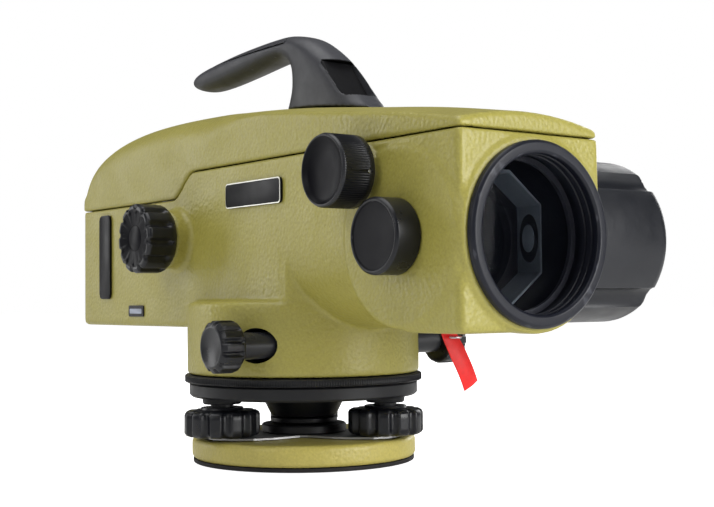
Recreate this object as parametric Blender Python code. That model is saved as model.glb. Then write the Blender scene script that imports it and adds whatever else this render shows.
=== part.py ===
"""Automatic level with a parallel-plate micrometer, standing on its levelling head.

The vertical axis is Z, with z = 0 at the underside of the base plate. The objective looks
along -Y, and the optical axis lies in the plane x = 0. Every size below is in millimetres.
"""

import math

import bmesh
import bpy
from mathutils import Vector

MM = 0.001
GAP = 0.3  # clearance between pieces that touch

# Levelling head
BASE_R = 50.0
BASE_Z = (2.0, 11.0)
PAD_R = 49.5
BOSS_R = 9.5
BOSS_TOP = 15.0
THREAD_R = 7.94  # 5/8 inch tripod thread
SPRING_Z = (11.4, 12.2)
NUT_R = 19.0
NUT_Z = (12.5, 16.1)
COLLAR_R = 15.0
COLLAR_Z = (16.9, 19.0)
SCREW_CIRCLE_R = 41.0
SCREW_ANGLES = (175.6, 295.6, 55.6)
SCREW_R = 4.9
SCREW_TOP = 33.0
BALL_R = 5.7
BALL_Z = 8.0  # height of the footscrews' ball ends, where the head tilts
FOOT_KNOB_R = 16.4
FOOT_KNOB_Z = (12.8, 23.9)
TRIBRACH_R = 51.2
TRIBRACH_Z = (29.0, 35.0)
CONE_R = (14.5, 19.4)
BEARING_R = 9.0
HUB_R = 13.0
HUB_TOP = 55.0
CIRCLE_R = 53.2
CIRCLE_BORE_R = 38.0
CIRCLE_Z = (35.3, 38.6)

# Drum of the housing, with the endless tangent drive
DRUM_R = 52.0
DRUM_Z = (39.0, 71.0)
DRUM_WALL = 3.0
DRUM_ROOF_Z = 58.0
TANGENT_Y = -28.5
TANGENT_Z = 52.5
TANGENT_BORE_R = 7.2
TANGENT_KNOB_R = 10.8
TANGENT_KNOB_X = (53.8, 65.0)
WORM_R = 5.6
WHEEL_R = 22.5
WHEEL_Z = (49.8, 54.8)

# Telescope housing
HALF_WIDTH = 35.0
WALL = 3.0
FRONT_Y = -147.2
REAR_Y = 156.8
FLOOR_Z = 59.0
OPTICAL_Z = 94.2
NECK_Y = -36.0  # ahead of this the lower half is a round tube
SEAM_Z = (131.2, 119.3)
SEAM_STEP_Y = (38.0, 58.5)
PIVOT_Y = -113.5  # cross axis of the tilting plate
CROSS_BOSS_R = (34.0, 31.5)  # on the knob side, and on the drum side
CROSS_BOSS_X = 36.0
FRONT_BOSS_R = 35.8
FRONT_BOSS_Y = -148.9

# Crown of the top cover along its length: (y, height of the centre line)
CROWN = (
    (-147.2, 138.6),
    (-110.0, 144.7),
    (-74.0, 149.2),
    (-30.0, 154.5),
    (0.0, 157.0),
    (40.0, 159.0),
    (80.0, 159.3),
    (110.0, 157.5),
    (135.0, 153.0),
    (150.0, 146.0),
    (156.8, 135.0),
)
CROWN_DROP = 4.4  # how much lower the crown is at its sides
SHOULDER_R = (3.0, 15.0)  # rounding of the cover's upper edges, at the front and at the rear

# Carrying handle, as rounded sections from its foot to its tip. Each row holds the
# front or upper point (y, z), the rear or lower point (y, z), the half width and how square it is.
HANDLE_SECTIONS = (
    (-55.0, 148.0, 4.2, 150.0, 11.0, 3.4),
    (-54.5, 152.4, 3.0, 157.2, 11.0, 3.2),
    (-50.5, 156.4, 1.2, 161.0, 10.8, 3.2),
    (-45.0, 162.7, -0.2, 165.8, 10.6, 3.0),
    (-37.5, 170.7, -0.6, 171.2, 10.5, 2.8),
    (-27.0, 179.4, 0.0, 176.3, 10.4, 2.6),
    (-14.0, 187.4, 3.0, 180.1, 10.2, 2.4),
    (-2.0, 191.0, 8.0, 181.8, 10.0, 2.3),
    (9.0, 191.8, 15.0, 181.6, 10.0, 2.2),
    (26.0, 191.6, 27.0, 180.3, 9.8, 2.2),
    (46.0, 190.7, 45.0, 178.3, 9.5, 2.2),
    (66.0, 189.0, 63.0, 176.8, 9.2, 2.2),
    (81.0, 187.2, 77.0, 176.5, 8.4, 2.2),
    (89.0, 185.4, 85.0, 177.7, 6.6, 2.0),
    (93.0, 182.6, 90.0, 179.3, 3.5, 2.0),
)
HANDLE_STEPS = 2
HANDLE_CORNERS = 20
HANDLE_CAP_Y = (0.0, 70.0)
HANDLE_CAP_Z = 187.6
SIGHT_Y = (-50.0, -24.0)
SIGHT_Z = (158.2, 175.4)
SIGHT_HALF = 9.0
HANDLE_SCREW_Y = -12.0
HANDLE_SCREW_R = 3.2
HANDLE_SCREW_Z = (157.9, 170.0)

# Front optics
BEZEL_R = 34.0
BEZEL_BORE_R = 29.0
BEZEL_FRONT_Y = -152.3
PLATE_FRAME_HALF = 27.0
PLATE_FRAME_FLAT = 14.5
TRUNNION_R = 5.0
DRUM_KNOB_R = 33.0
DRUM_KNOB_X = (37.3, 78.0)
GROOVE_R = 6.0
GROOVE_OUT = 2.4  # how far outside the drum's side the centres of its grooves lie
GROOVE_ANGLES = (45, 135, 225, 315)
CAP_R = 14.2
CAP_X = 47.5
SECTOR_X = (-30.2, -27.5)
SECTOR_HUB_R = 7.5

# Micrometer knob and its shaft
MICRO_Y = -91.0
MICRO_Z = 119.5
MICRO_R = 14.0
MICRO_X = (38.8, 53.8)
PINION_R = 5.6
SECTOR_R = 28.0
SHAFT_R = 3.5

# Focusing
FOCUS_Y = 52.8
FOCUS_Z = 100.2
FOCUS_R = 16.0
FOCUS_X = (43.4, 58.3)
FOCUS_PINION_R = 4.2
FOCUS_CELL_Y = (24.0, 40.0)
RAIL_Z = 74.5
RAIL_R = 2.4
RACK_END_Y = 76.0

# Compensator
PENDULUM_Y = 100.0
PENDULUM_TOP = 118.0
PENDULUM_HALF = 12.0

# Red reminder tag under the front
TAG_X = -15.7
TAG_Y = -118.0
TAG_WIDTH = 7.4
TAG_LENGTH = 23.0
TAG_LEAN = 29.0

# Eyepiece end
RETICLE_Y = 138.0
EYE_TUBE_R = 12.5
EYE_RING_R = 17.0
EYE_RING_Y = (161.5, 178.5)

COLOURS = {
    "olive_paint": ((0.32, 0.30, 0.07), 0.45, 0.0),
    "black_plastic": ((0.012, 0.013, 0.018), 0.35, 0.0),
    "handle_plastic": ((0.03, 0.03, 0.035), 0.4, 0.0),
    "rubber": ((0.01, 0.01, 0.01), 0.8, 0.0),
    "steel": ((0.6, 0.6, 0.62), 0.3, 1.0),
    "brass": ((0.7, 0.5, 0.2), 0.3, 1.0),
    "aluminium": ((0.7, 0.7, 0.72), 0.4, 1.0),
    "glass": ((0.5, 0.6, 0.62), 0.05, 0.0),
    "red_plastic": ((0.7, 0.01, 0.01), 0.4, 0.0),
}


# ---------------------------------------------------------------- helpers


def on_axis(axis, u, v, t):
    """The point at t along an axis, with u and v across it, in a right-handed frame."""
    places = {"X": (t, u, v), "Y": (v, t, u), "Z": (u, v, t)}
    return Vector(places[axis])


def shape(bm, name="shape"):
    """Turns a bmesh in millimetres into an object in metres, with its faces outwards."""
    bmesh.ops.scale(bm, vec=(MM, MM, MM), verts=bm.verts)
    bmesh.ops.recalc_face_normals(bm, faces=bm.faces)
    mesh = bpy.data.meshes.new(name)
    bm.to_mesh(mesh)
    bm.free()
    obj = bpy.data.objects.new(name, mesh)
    bpy.context.collection.objects.link(obj)
    return obj


def turned(profile, axis="Z", centre=(0, 0, 0), angles=24, flutes=None):
    """A turned body. The profile is a closed loop of (radius, distance along the axis).

    flutes is (how many, how deep, radius inside which the body stays round)."""
    if isinstance(angles, int):
        angles = [360 * i / angles for i in range(angles)]
    bm = bmesh.new()
    rings = []
    for radius, t in profile:
        if radius == 0:
            rings.append([bm.verts.new(Vector(centre) + on_axis(axis, 0, 0, t))])
            continue
        ring = []
        for angle in angles:
            a = math.radians(angle)
            r = radius
            if flutes and radius > flutes[2]:
                r -= flutes[1] * (0.5 - 0.5 * math.cos(flutes[0] * a))
            point = on_axis(axis, r * math.cos(a), r * math.sin(a), t)
            ring.append(bm.verts.new(Vector(centre) + point))
        rings.append(ring)
    count = len(angles)
    for first, second in zip(rings, rings[1:] + rings[:1]):
        if len(first) == 1 and len(second) == 1:
            continue
        for i in range(count):
            j = (i + 1) % count
            corners = [first[i % len(first)], first[j % len(first)]]
            corners += [second[j % len(second)], second[i % len(second)]]
            face = []
            for vert in corners:
                if vert not in face:
                    face.append(vert)
            bm.faces.new(face)
    return shape(bm)


def disc(r, t0, t1, chamfer=0.0, bore=0.0):
    """The profile of a plain disc or ring, for turned()."""
    c = chamfer
    outer = [(r - c, t0), (r, t0 + c), (r, t1 - c), (r - c, t1)] if c else [(r, t0), (r, t1)]
    return [(bore, t0)] + outer + [(bore, t1)]


def bevel_edges(bm, edges, size, steps):
    options = {"affect": "EDGES", "profile": 0.5, "clamp_overlap": True}
    bmesh.ops.bevel(bm, geom=list(edges), offset=size, segments=steps, **options)


def prism(outline, axis, t0, t1, rim=0.0, rim_steps=2):
    """An outline of (u, v) points drawn across an axis and extruded along it, with its rims rounded."""
    bm = bmesh.new()
    lower = [bm.verts.new(on_axis(axis, u, v, t0)) for u, v in outline]
    upper = [bm.verts.new(on_axis(axis, u, v, t1)) for u, v in outline]
    ends = [bm.faces.new(lower[::-1]), bm.faces.new(upper)]
    for i in range(len(outline)):
        j = (i + 1) % len(outline)
        bm.faces.new([lower[i], lower[j], upper[j], upper[i]])
    if rim:
        edges = {edge for face in ends for edge in face.edges}
        bevel_edges(bm, edges, rim, rim_steps)
    return shape(bm)


def block(x, y, z, rim=0.0, rim_steps=1):
    """A box from three (low, high) pairs, with all its edges rounded."""
    bm = bmesh.new()
    bmesh.ops.create_cube(bm, size=1)
    for vert in bm.verts:
        corner = [span[0] if c < 0 else span[1] for span, c in zip((x, y, z), vert.co)]
        vert.co = corner
    if rim:
        bevel_edges(bm, bm.edges, rim, rim_steps)
    return shape(bm)


def rod(axis, centre, r, t0, t1, angles=16):
    """A plain cylinder; t0 and t1 are absolute places along its axis."""
    return turned(disc(r, t0, t1), axis, centre, angles)


def combine(obj, others, operation, solver="EXACT"):
    """Joins others to obj, or cuts them from it, and leaves one plain mesh."""
    for other in others:
        modifier = obj.modifiers.new(operation.title(), "BOOLEAN")
        modifier.operation = operation
        modifier.solver = solver
        modifier.object = other
    bpy.context.view_layer.update()
    graph = bpy.context.evaluated_depsgraph_get()
    mesh = bpy.data.meshes.new_from_object(obj.evaluated_get(graph))
    obj.modifiers.clear()
    obj.data = mesh
    for other in others:
        bpy.data.objects.remove(other)
    return obj


def join(obj, *others):
    return combine(obj, others, "UNION")


def cut(obj, *others):
    return combine(obj, others, "DIFFERENCE")


def cut_ringed(obj, *others):
    """Cuts bores that leave narrow rings, which the exact solver leaves open."""
    return combine(obj, others, "DIFFERENCE", "MANIFOLD")


def arc(cu, cv, r, start, end, steps):
    """Points of an arc about (cu, cv), from one angle to another in degrees."""
    points = []
    for i in range(steps + 1):
        a = math.radians(start + (end - start) * i / steps)
        points.append((cu + r * math.cos(a), cv + r * math.sin(a)))
    return points


def polar(r, degrees):
    return r * math.cos(math.radians(degrees)), r * math.sin(math.radians(degrees))


def make_materials():
    found = {}
    for name, (colour, roughness, metallic) in COLOURS.items():
        material = bpy.data.materials.new(name)
        material.use_nodes = True
        bsdf = material.node_tree.nodes["Principled BSDF"]
        bsdf.inputs["Base Color"].default_value = (*colour, 1)
        bsdf.inputs["Roughness"].default_value = roughness
        bsdf.inputs["Metallic"].default_value = metallic
        found[name] = material
    return found


def make_bodies():
    """An empty on each joint's axis. Each row is the body, what carries it, and where its joint is."""
    third = Vector((*polar(SCREW_CIRCLE_R, SCREW_ANGLES[2]), 0))
    rows = [("base", None, (0, 0, 0))]
    for i, angle in enumerate(SCREW_ANGLES, 1):
        rows.append((f"footscrew_{i}_axis", "base", (*polar(SCREW_CIRCLE_R, angle), BALL_Z)))
    rows += [
        ("swivel_axis", "base", tuple(-0.5 * third + Vector((0, 0, BALL_Z)))),
        ("head_axis", "swivel_axis", (0, 0, BALL_Z)),
        ("circle_axis", "head_axis", (0, 0, CIRCLE_Z[0])),
        ("wheel_axis", "head_axis", (0, 0, TANGENT_Z)),
        ("alidade_axis", "wheel_axis", (0, 0, TANGENT_Z)),
        ("tangent_axis", "alidade_axis", (0, TANGENT_Y, TANGENT_Z)),
        ("plate_axis", "alidade_axis", (0, PIVOT_Y, OPTICAL_Z)),
        ("micrometer_axis", "alidade_axis", (-HALF_WIDTH, MICRO_Y, MICRO_Z)),
        ("focus_knob_axis", "alidade_axis", (-HALF_WIDTH, FOCUS_Y, FOCUS_Z)),
        ("focus_slide", "alidade_axis", (0, FOCUS_CELL_Y[0], OPTICAL_Z)),
        ("pendulum_axis", "alidade_axis", (0, PENDULUM_Y, PENDULUM_TOP)),
        ("eyepiece_axis", "alidade_axis", (0, EYE_RING_Y[0], OPTICAL_Z)),
    ]
    bodies = {}
    places = {None: Vector((0, 0, 0))}
    for name, carrier, place in rows:
        empty = bpy.data.objects.new(name, None)
        bpy.context.collection.objects.link(empty)
        places[name] = Vector(place)
        empty.location = MM * (places[name] - places[carrier])
        if carrier:
            empty.parent = bodies[carrier]
        bodies[name] = empty
    return bodies, places


def piece(name, obj, material, body):
    """Names a finished shape, gives it its material and hangs it on its body's empty."""
    obj.name = name
    obj.data.name = name
    obj.data.materials.clear()
    obj.data.materials.append(MATERIALS[material])
    obj.data.shade_smooth()
    obj.data.set_sharp_from_angle(angle=math.radians(32))
    obj.parent = BODIES[body]
    obj.location = -MM * PLACES[body]
    return obj


def seam_z(y):
    """Height of the joint between housing and cover, which steps down behind the middle."""
    t = (y - SEAM_STEP_Y[0]) / (SEAM_STEP_Y[1] - SEAM_STEP_Y[0])
    t = min(1.0, max(0.0, t))
    return SEAM_Z[0] + (SEAM_Z[1] - SEAM_Z[0]) * t * t * (3 - 2 * t)


def seam_stations(first, last):
    low, high = SEAM_STEP_Y
    inner = [low + (high - low) * i / 6 for i in range(7)]
    return [first] + inner + [last]


def crown_z(y):
    """Height of the cover's centre line: a smooth curve through CROWN."""
    points = list(CROWN)
    index = max(i for i, p in enumerate(points[:-1]) if y >= p[0] - 1e-6)
    p1, p2 = points[index], points[index + 1]
    p0 = points[index - 1] if index else p1
    p3 = points[index + 2] if index + 2 < len(points) else p2
    width = p2[0] - p1[0]
    t = (y - p1[0]) / width
    slope1 = (p2[1] - p0[1]) / (p2[0] - p0[0]) * width
    slope2 = (p3[1] - p1[1]) / (p3[0] - p1[0]) * width
    return (
        p1[1] * (1 + 2 * t) * (1 - t) ** 2
        + slope1 * t * (1 - t) ** 2
        + p2[1] * t * t * (3 - 2 * t)
        - slope2 * t * t * (1 - t)
    )


# ---------------------------------------------------------------- levelling head


def screw_rods(r, t0, t1):
    """One upright cylinder about each footscrew's axis."""
    return [rod("Z", (*polar(SCREW_CIRCLE_R, angle), 0), r, t0, t1) for angle in SCREW_ANGLES]


def base_plate():
    low, high = BASE_Z
    plate = turned(
        [(THREAD_R, low), (BASE_R - 2, low), (BASE_R, low + 2), (BASE_R, high - 1.5)]
        + [(BASE_R - 1.5, high), (BOSS_R, high), (BOSS_R, BOSS_TOP), (THREAD_R, BOSS_TOP)],
        angles=32,
    )
    seats = screw_rods(BALL_R + 0.5, low + 1.5, 30)
    piece("base_plate", cut(plate, *seats), "olive_paint", "base")
    piece("base_pad", turned(disc(PAD_R, 0, BASE_Z[0] - GAP, 0.4, bore=12), angles=32), "rubber", "base")


def spring_plate():
    """A thin three-armed plate that holds the ball ends down."""
    outline = []
    for i in range(36):
        angle = 10 * i
        r = 33 + 14 * math.cos(math.radians(3 * (angle - SCREW_ANGLES[0])))
        outline.append(polar(r, angle))
    holes = screw_rods(SCREW_R, 0, 30)
    plate = cut(prism(outline, "Z", *SPRING_Z), rod("Z", (0, 0, 0), BOSS_R + GAP, 0, 30), *holes)
    piece("spring_plate", plate, "steel", "base")
    bore = BOSS_R + GAP
    nut = turned(
        [(0, BOSS_TOP + GAP), (bore, BOSS_TOP + GAP), (bore, NUT_Z[0])]
        + [(NUT_R - 0.6, NUT_Z[0]), (NUT_R, NUT_Z[0] + 0.6), (NUT_R, NUT_Z[1] - 0.6), (NUT_R - 0.6, NUT_Z[1])]
        + [(0, NUT_Z[1])],
        angles=32,
    )
    piece("centre_nut", nut, "steel", "base")


def footscrews():
    for i, angle in enumerate(SCREW_ANGLES, 1):
        centre = (*polar(SCREW_CIRCLE_R, angle), 0)
        neck = SCREW_R - 0.9
        ball = arc(0, BALL_Z + 1.3, BALL_R, -90, 0, 3)
        profile = [(0, ball[0][1])] + ball[1:] + [(neck, SPRING_Z[0] - 0.4)]
        profile += [(neck, SPRING_Z[1] + 0.3), (SCREW_R, SPRING_Z[1] + 0.5)]
        profile += [(SCREW_R, SCREW_TOP - 1), (SCREW_R - 1, SCREW_TOP), (0, SCREW_TOP)]
        piece(f"footscrew_{i}", turned(profile, "Z", centre, 14), "steel", f"footscrew_{i}_axis")
        low, high = FOOT_KNOB_Z
        knob = turned(
            [(SCREW_R + GAP, low), (FOOT_KNOB_R - 1.2, low), (FOOT_KNOB_R, low + 1.2)]
            + [(FOOT_KNOB_R, high - 1.6), (FOOT_KNOB_R - 1.6, high), (9.0, high)]
            + [(9.0, high + 1.3), (SCREW_R + GAP, high + 1.3)],
            "Z",
            centre,
            33,
            flutes=(11, 1.5, 12.0),
        )
        piece(f"footscrew_knob_{i}", knob, "black_plastic", f"footscrew_{i}_axis")


def tribrach():
    """The upper plate of the levelling head, with the threaded lugs and the bearing of the vertical axis."""
    low, high = TRIBRACH_Z
    body = turned(
        [(0, COLLAR_Z[1] + 0.9), (CONE_R[0], COLLAR_Z[1] + 0.9), (CONE_R[1], low), (TRIBRACH_R - 1, low)]
        + [(TRIBRACH_R, low + 1), (TRIBRACH_R, high - 0.6), (TRIBRACH_R - 0.6, high)]
        + [(CIRCLE_BORE_R - GAP, high), (CIRCLE_BORE_R - GAP, CIRCLE_Z[1] - 1), (HUB_R, CIRCLE_Z[1] - 1)]
        + [(HUB_R, HUB_TOP), (BEARING_R, HUB_TOP), (BEARING_R, COLLAR_Z[1] + 2.9), (0, COLLAR_Z[1] + 2.9)],
        angles=32,
    )
    lugs = screw_rods(8.5, low - 2.4, low + 3)
    holes = screw_rods(SCREW_R + 1.1, low - 4, high - 0.8)
    piece("tribrach", cut_ringed(join(body, *lugs), *holes), "black_plastic", "head_axis")
    piece("swivel_collar", turned(disc(COLLAR_R, *COLLAR_Z, 0.4), angles=24), "brass", "swivel_axis")
    ring = turned(disc(CIRCLE_R, *CIRCLE_Z, 0.6, bore=CIRCLE_BORE_R), angles=48)
    piece("circle_ring", ring, "black_plastic", "circle_axis")
    wheel = turned(disc(WHEEL_R, *WHEEL_Z, 0, bore=HUB_R + GAP), angles=48, flutes=(16, 0.5, 20))
    piece("worm_wheel", wheel, "brass", "wheel_axis")
    spindle = turned(
        [(0, COLLAR_Z[1] + 3.3), (BEARING_R - 0.4, COLLAR_Z[1] + 3.3), (BEARING_R - 0.4, HUB_TOP + GAP)]
        + [(20, HUB_TOP + GAP), (20, DRUM_ROOF_Z - GAP), (0, DRUM_ROOF_Z - GAP)],
        angles=24,
    )
    notch = rod("X", (0, TANGENT_Y, TANGENT_Z), TANGENT_BORE_R, -30, 30)
    piece("centre_spindle", cut(spindle, notch), "steel", "alidade_axis")


def tangent_drive():
    """The worm shaft across the drum, with a knob at each end."""
    r, collar, (knob_in, knob_out) = 3.4, 5.0, TANGENT_KNOB_X
    half = [(WORM_R, 0), (WORM_R, 14), (r, 15), (r, 44.5), (collar, 44.5), (collar, knob_in - GAP)]
    half += [(r, knob_in - GAP), (r, knob_out - 4), (0, knob_out - 4)]
    profile = [(radius, -x) for radius, x in half[::-1]] + half[1:]
    shaft = turned(profile, "X", (0, TANGENT_Y, TANGENT_Z), 16)
    piece("tangent_shaft", shaft, "steel", "tangent_axis")
    for name, side in (("tangent_knob_left", -1), ("tangent_knob_right", 1)):
        bore = r + GAP
        profile = [(bore, knob_in), (TANGENT_KNOB_R - 0.8, knob_in), (TANGENT_KNOB_R, knob_in + 0.8)]
        profile += [(TANGENT_KNOB_R, knob_out - 1), (TANGENT_KNOB_R - 1, knob_out), (0, knob_out)]
        profile += [(0, knob_out - 3.5), (bore, knob_out - 3.5)]
        profile = [(radius, side * x) for radius, x in profile]
        knob = turned(profile, "X", (0, TANGENT_Y, TANGENT_Z), 30, flutes=(10, 1.3, 7))
        piece(name, knob, "black_plastic", "tangent_axis")


# ---------------------------------------------------------------- housing and cover


def side_bosses():
    focus = turned(disc(13.65, -FOCUS_X[0] + GAP, -30, 0), "X", (0, FOCUS_Y, FOCUS_Z), 24)
    micro = turned(disc(10.9, -MICRO_X[0] + GAP, -30, 0), "X", (0, MICRO_Y, MICRO_Z), 24)
    return [focus, micro]


def main_housing():
    half = HALF_WIDTH
    seam = [(y, seam_z(y) - GAP / 2) for y in seam_stations(NECK_Y, REAR_Y)]
    body = prism([(REAR_Y, FLOOR_Z), *seam[::-1], (NECK_Y, FLOOR_Z)], "X", -half, half)
    top = SEAM_Z[0] - GAP / 2
    bow_outline = [(top, -half), (top, half)] + arc(OPTICAL_Z, 0, half, 90, 270, 20)
    bow = prism(bow_outline, "Y", FRONT_Y, NECK_Y + 8)
    front = block((-half, 0.7), (FRONT_Y, PIVOT_Y), (FLOOR_Z, OPTICAL_Z + 8))
    drum = turned(disc(DRUM_R, *DRUM_Z, 1.6), angles=48)
    near_r, far_r = CROSS_BOSS_R
    pivot = (0, PIVOT_Y, OPTICAL_Z)
    near_boss = turned(disc(near_r, -CROSS_BOSS_X, -2, 0.8), "X", pivot, 40)
    far_boss = turned(disc(far_r, -1, CROSS_BOSS_X, 0.8), "X", pivot, 40)
    boss = rod("Y", (0, 0, OPTICAL_Z), FRONT_BOSS_R, FRONT_BOSS_Y, FRONT_Y + 1, 40)
    neck_r, neck_half = DRUM_R - 0.2, half - 0.3
    corner = math.degrees(math.asin(neck_half / neck_r))
    neck_outline = arc(0, 0, neck_r, -90 - corner, -90 + corner, 8) + [(neck_half, -30), (-neck_half, -30)]
    neck = prism(neck_outline, "Z", 60, OPTICAL_Z - 1)
    join(body, bow, front, drum, near_boss, far_boss, boss, neck, *side_bosses())

    inner = half - WALL
    first = FRONT_Y + WALL + 1
    hollow_outline = [(first, OPTICAL_Z + 1), (NECK_Y + WALL, OPTICAL_Z + 1), (NECK_Y + WALL, FLOOR_Z + WALL)]
    hollow_outline += [(REAR_Y - WALL, FLOOR_Z + WALL), (REAR_Y - WALL, 150), (first, 150)]
    saloon = prism(hollow_outline, "X", -inner, inner)
    bore = rod("Y", (0, 0, OPTICAL_Z), inner - 0.2, first, NECK_Y + 5, 32)
    mouth = rod("Y", (0, 0, OPTICAL_Z), BEZEL_BORE_R + 2.3, -155, -140, 32)
    hollow = rod("Z", (0, 0, 0), DRUM_R - DRUM_WALL, 30, DRUM_ROOF_Z, 40)
    worm_bore = rod("X", (0, TANGENT_Y, TANGENT_Z), TANGENT_BORE_R, -60, 60, 16)
    pivot_bore = rod("X", (0, PIVOT_Y, OPTICAL_Z), TRUNNION_R + 1, -45, 45)
    micro_bore = rod("X", (0, MICRO_Y, MICRO_Z), 4.2, -50, -20)
    focus_bore = rod("X", (0, FOCUS_Y, FOCUS_Z), 4.2, -50, -20)
    eye_bore = rod("Y", (0, 0, OPTICAL_Z), EYE_TUBE_R, 140, 170, 24)
    cut_ringed(body, saloon, bore, mouth, hollow, worm_bore, pivot_bore, micro_bore, focus_bore, eye_bore)
    piece("main_housing", body, "olive_paint", "alidade_axis")


def cover_section(y, inset):
    """Half a cross-section of the cover, from its lower edge to its centre line, as (x, z)."""
    rear = min(1.0, max(0.0, (y + 20) / 60))
    radius = SHOULDER_R[0] + (SHOULDER_R[1] - SHOULDER_R[0]) * rear * rear * (3 - 2 * rear)
    top = crown_z(min(max(y, CROWN[0][0]), CROWN[-1][0]))
    foot = seam_z(y) + GAP / 2
    radius = min(radius, top - CROWN_DROP - foot - 0.5)
    flat = HALF_WIDTH - radius
    shoulder = top - CROWN_DROP * (flat / HALF_WIDTH) ** 2 - radius
    bend = max(radius - inset, 0.8)
    wide = HALF_WIDTH - inset
    if inset:
        shoulder += radius - inset - bend
        flat = wide - bend
    points = [(wide, foot)]
    points += arc(flat, shoulder, bend, 0, 90, 3)
    edge = shoulder + bend
    peak = top - inset
    points += [(flat * f, peak - (peak - edge) * f * f) for f in (2 / 3, 1 / 3, 0)]
    return points


def top_cover():
    stations = [-147.2, -128, -101, -74, -52, -30, -12, 12]
    stations += seam_stations(SEAM_STEP_Y[0], 72)[1:]
    stations += [95, 112, 124, 135, 143, 150, 154.5, REAR_Y]
    bm = bmesh.new()
    shells = []
    for inset in (0, WALL):
        rings = []
        for y in stations:
            ahead, behind = max(0, -100 - y) / (-100 - FRONT_Y), max(0, y - 100) / (REAR_Y - 100)
            place = y + inset * (ahead - behind)
            half = cover_section(place, inset)
            section = half + [(-x, z) for x, z in half[-2::-1]]
            rings.append([bm.verts.new((x, place, z)) for x, z in section])
        for first, second in zip(rings, rings[1:]):
            for i in range(len(first) - 1):
                bm.faces.new([first[i], first[i + 1], second[i + 1], second[i]])
        bm.faces.new(rings[0])
        bm.faces.new(rings[-1])
        shells.append(rings)
    outer, inner = shells
    for k in range(len(stations) - 1):
        for end in (0, -1):
            bm.faces.new([outer[k][end], outer[k + 1][end], inner[k + 1][end], inner[k][end]])
    for k in (0, -1):
        bm.faces.new([outer[k][0], outer[k][-1], inner[k][-1], inner[k][0]])
    piece("top_cover", shape(bm), "olive_paint", "alidade_axis")


def smooth_rows(rows, steps):
    """Rows of numbers with steps - 1 more between each two, on a smooth curve through them."""
    found = []
    for i in range(len(rows) - 1):
        before, first = rows[max(i - 1, 0)], rows[i]
        second, after = rows[i + 1], rows[min(i + 2, len(rows) - 1)]
        for k in range(steps):
            t = k / steps
            row = []
            for a, b, c, d in zip(before, first, second, after):
                bend = (2 * a - 5 * b + 4 * c - d) * t + (3 * b - a - 3 * c + d) * t * t
                row.append(b + 0.5 * t * (c - a + bend))
            found.append(row)
    return found + [list(rows[-1])]


def handle_solid():
    bm = bmesh.new()
    rings = []
    for row in smooth_rows(HANDLE_SECTIONS, HANDLE_STEPS):
        y0, z0, y1, z1, half, square = row
        ring = []
        for k in range(HANDLE_CORNERS):
            a = 2 * math.pi * k / HANDLE_CORNERS
            along = math.copysign(abs(math.cos(a)) ** (2 / square), math.cos(a))
            across = math.copysign(abs(math.sin(a)) ** (2 / square), math.sin(a))
            y = (y0 + y1) / 2 + (y0 - y1) / 2 * along
            z = (z0 + z1) / 2 + (z0 - z1) / 2 * along
            ring.append(bm.verts.new((half * across, y, z)))
        rings.append(ring)
    for first, second in zip(rings, rings[1:]):
        for i in range(HANDLE_CORNERS):
            j = (i + 1) % HANDLE_CORNERS
            bm.faces.new([first[i], first[j], second[j], second[i]])
    bm.faces.new(rings[0])
    bm.faces.new(rings[-1])
    solid = shape(bm)
    stations = (20, 5, -12, -30, -44, -54, -66)
    under = [(y, crown_z(y) + GAP) for y in stations] + [(-66, 140), (20, 140)]
    return cut(solid, prism(under, "X", -20, 20))


def carry_handle():
    low, high = HANDLE_CAP_Y
    region = block((-20, 20), (low, high), (HANDLE_CAP_Z, 200))
    cap = combine(handle_solid(), [region], "INTERSECT")
    clearance = block((-20, 20), (low - GAP, high + GAP), (HANDLE_CAP_Z - GAP, 200))
    sight = block((-SIGHT_HALF, SIGHT_HALF), SIGHT_Y, SIGHT_Z)
    well = rod("Z", (0, HANDLE_SCREW_Y, 0), HANDLE_SCREW_R + GAP, 140, HANDLE_SCREW_Z[1] + 1, 16)
    handle = cut(handle_solid(), clearance, sight, well)
    piece("carry_handle", handle, "handle_plastic", "alidade_axis")
    piece("handle_cap", cap, "handle_plastic", "alidade_axis")
    across = SIGHT_HALF - GAP
    window = block((-across, across), (-31, SIGHT_Y[1] - GAP), (SIGHT_Z[0] + GAP, SIGHT_Z[1] - GAP))
    piece("sight_window", window, "glass", "alidade_axis")
    screw = turned(disc(HANDLE_SCREW_R, *HANDLE_SCREW_Z, 0.4), "Z", (0, HANDLE_SCREW_Y, 0), 16)
    piece("handle_screw", screw, "steel", "alidade_axis")


# ---------------------------------------------------------------- front optics and micrometer


def front_optics():
    axis_line = (0, 0, OPTICAL_Z)
    sleeve = BEZEL_BORE_R + 2
    bezel = turned(
        [(BEZEL_BORE_R, -142.0), (BEZEL_BORE_R, BEZEL_FRONT_Y + 1.2), (BEZEL_BORE_R + 1.2, BEZEL_FRONT_Y)]
        + [(BEZEL_R - 1, BEZEL_FRONT_Y), (BEZEL_R, BEZEL_FRONT_Y + 1), (BEZEL_R, FRONT_BOSS_Y - GAP)]
        + [(sleeve, FRONT_BOSS_Y - GAP), (sleeve, -137.0), (30.2, -137.0), (30.2, -142.0)],
        "Y",
        axis_line,
        32,
    )
    piece("front_bezel", bezel, "black_plastic", "alidade_axis")
    piece("front_window", rod("Y", axis_line, 29.9, -141.7, -139.7, 48), "glass", "alidade_axis")
    ring = turned(disc(29.9, -139.4, -137.4, 0, bore=27.5), "Y", axis_line, 24)
    piece("window_ring", ring, "black_plastic", "alidade_axis")
    cell = turned(disc(31.2, -80, -66, 0, bore=25.3), "Y", axis_line, 24)
    piece("objective_cell", cell, "aluminium", "alidade_axis")
    lens = turned([(0, -79), (15, -78.3), (25, -76), (25, -71), (15, -69.2), (0, -68.5)], "Y", axis_line, 24)
    piece("objective_lens", lens, "glass", "alidade_axis")


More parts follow.
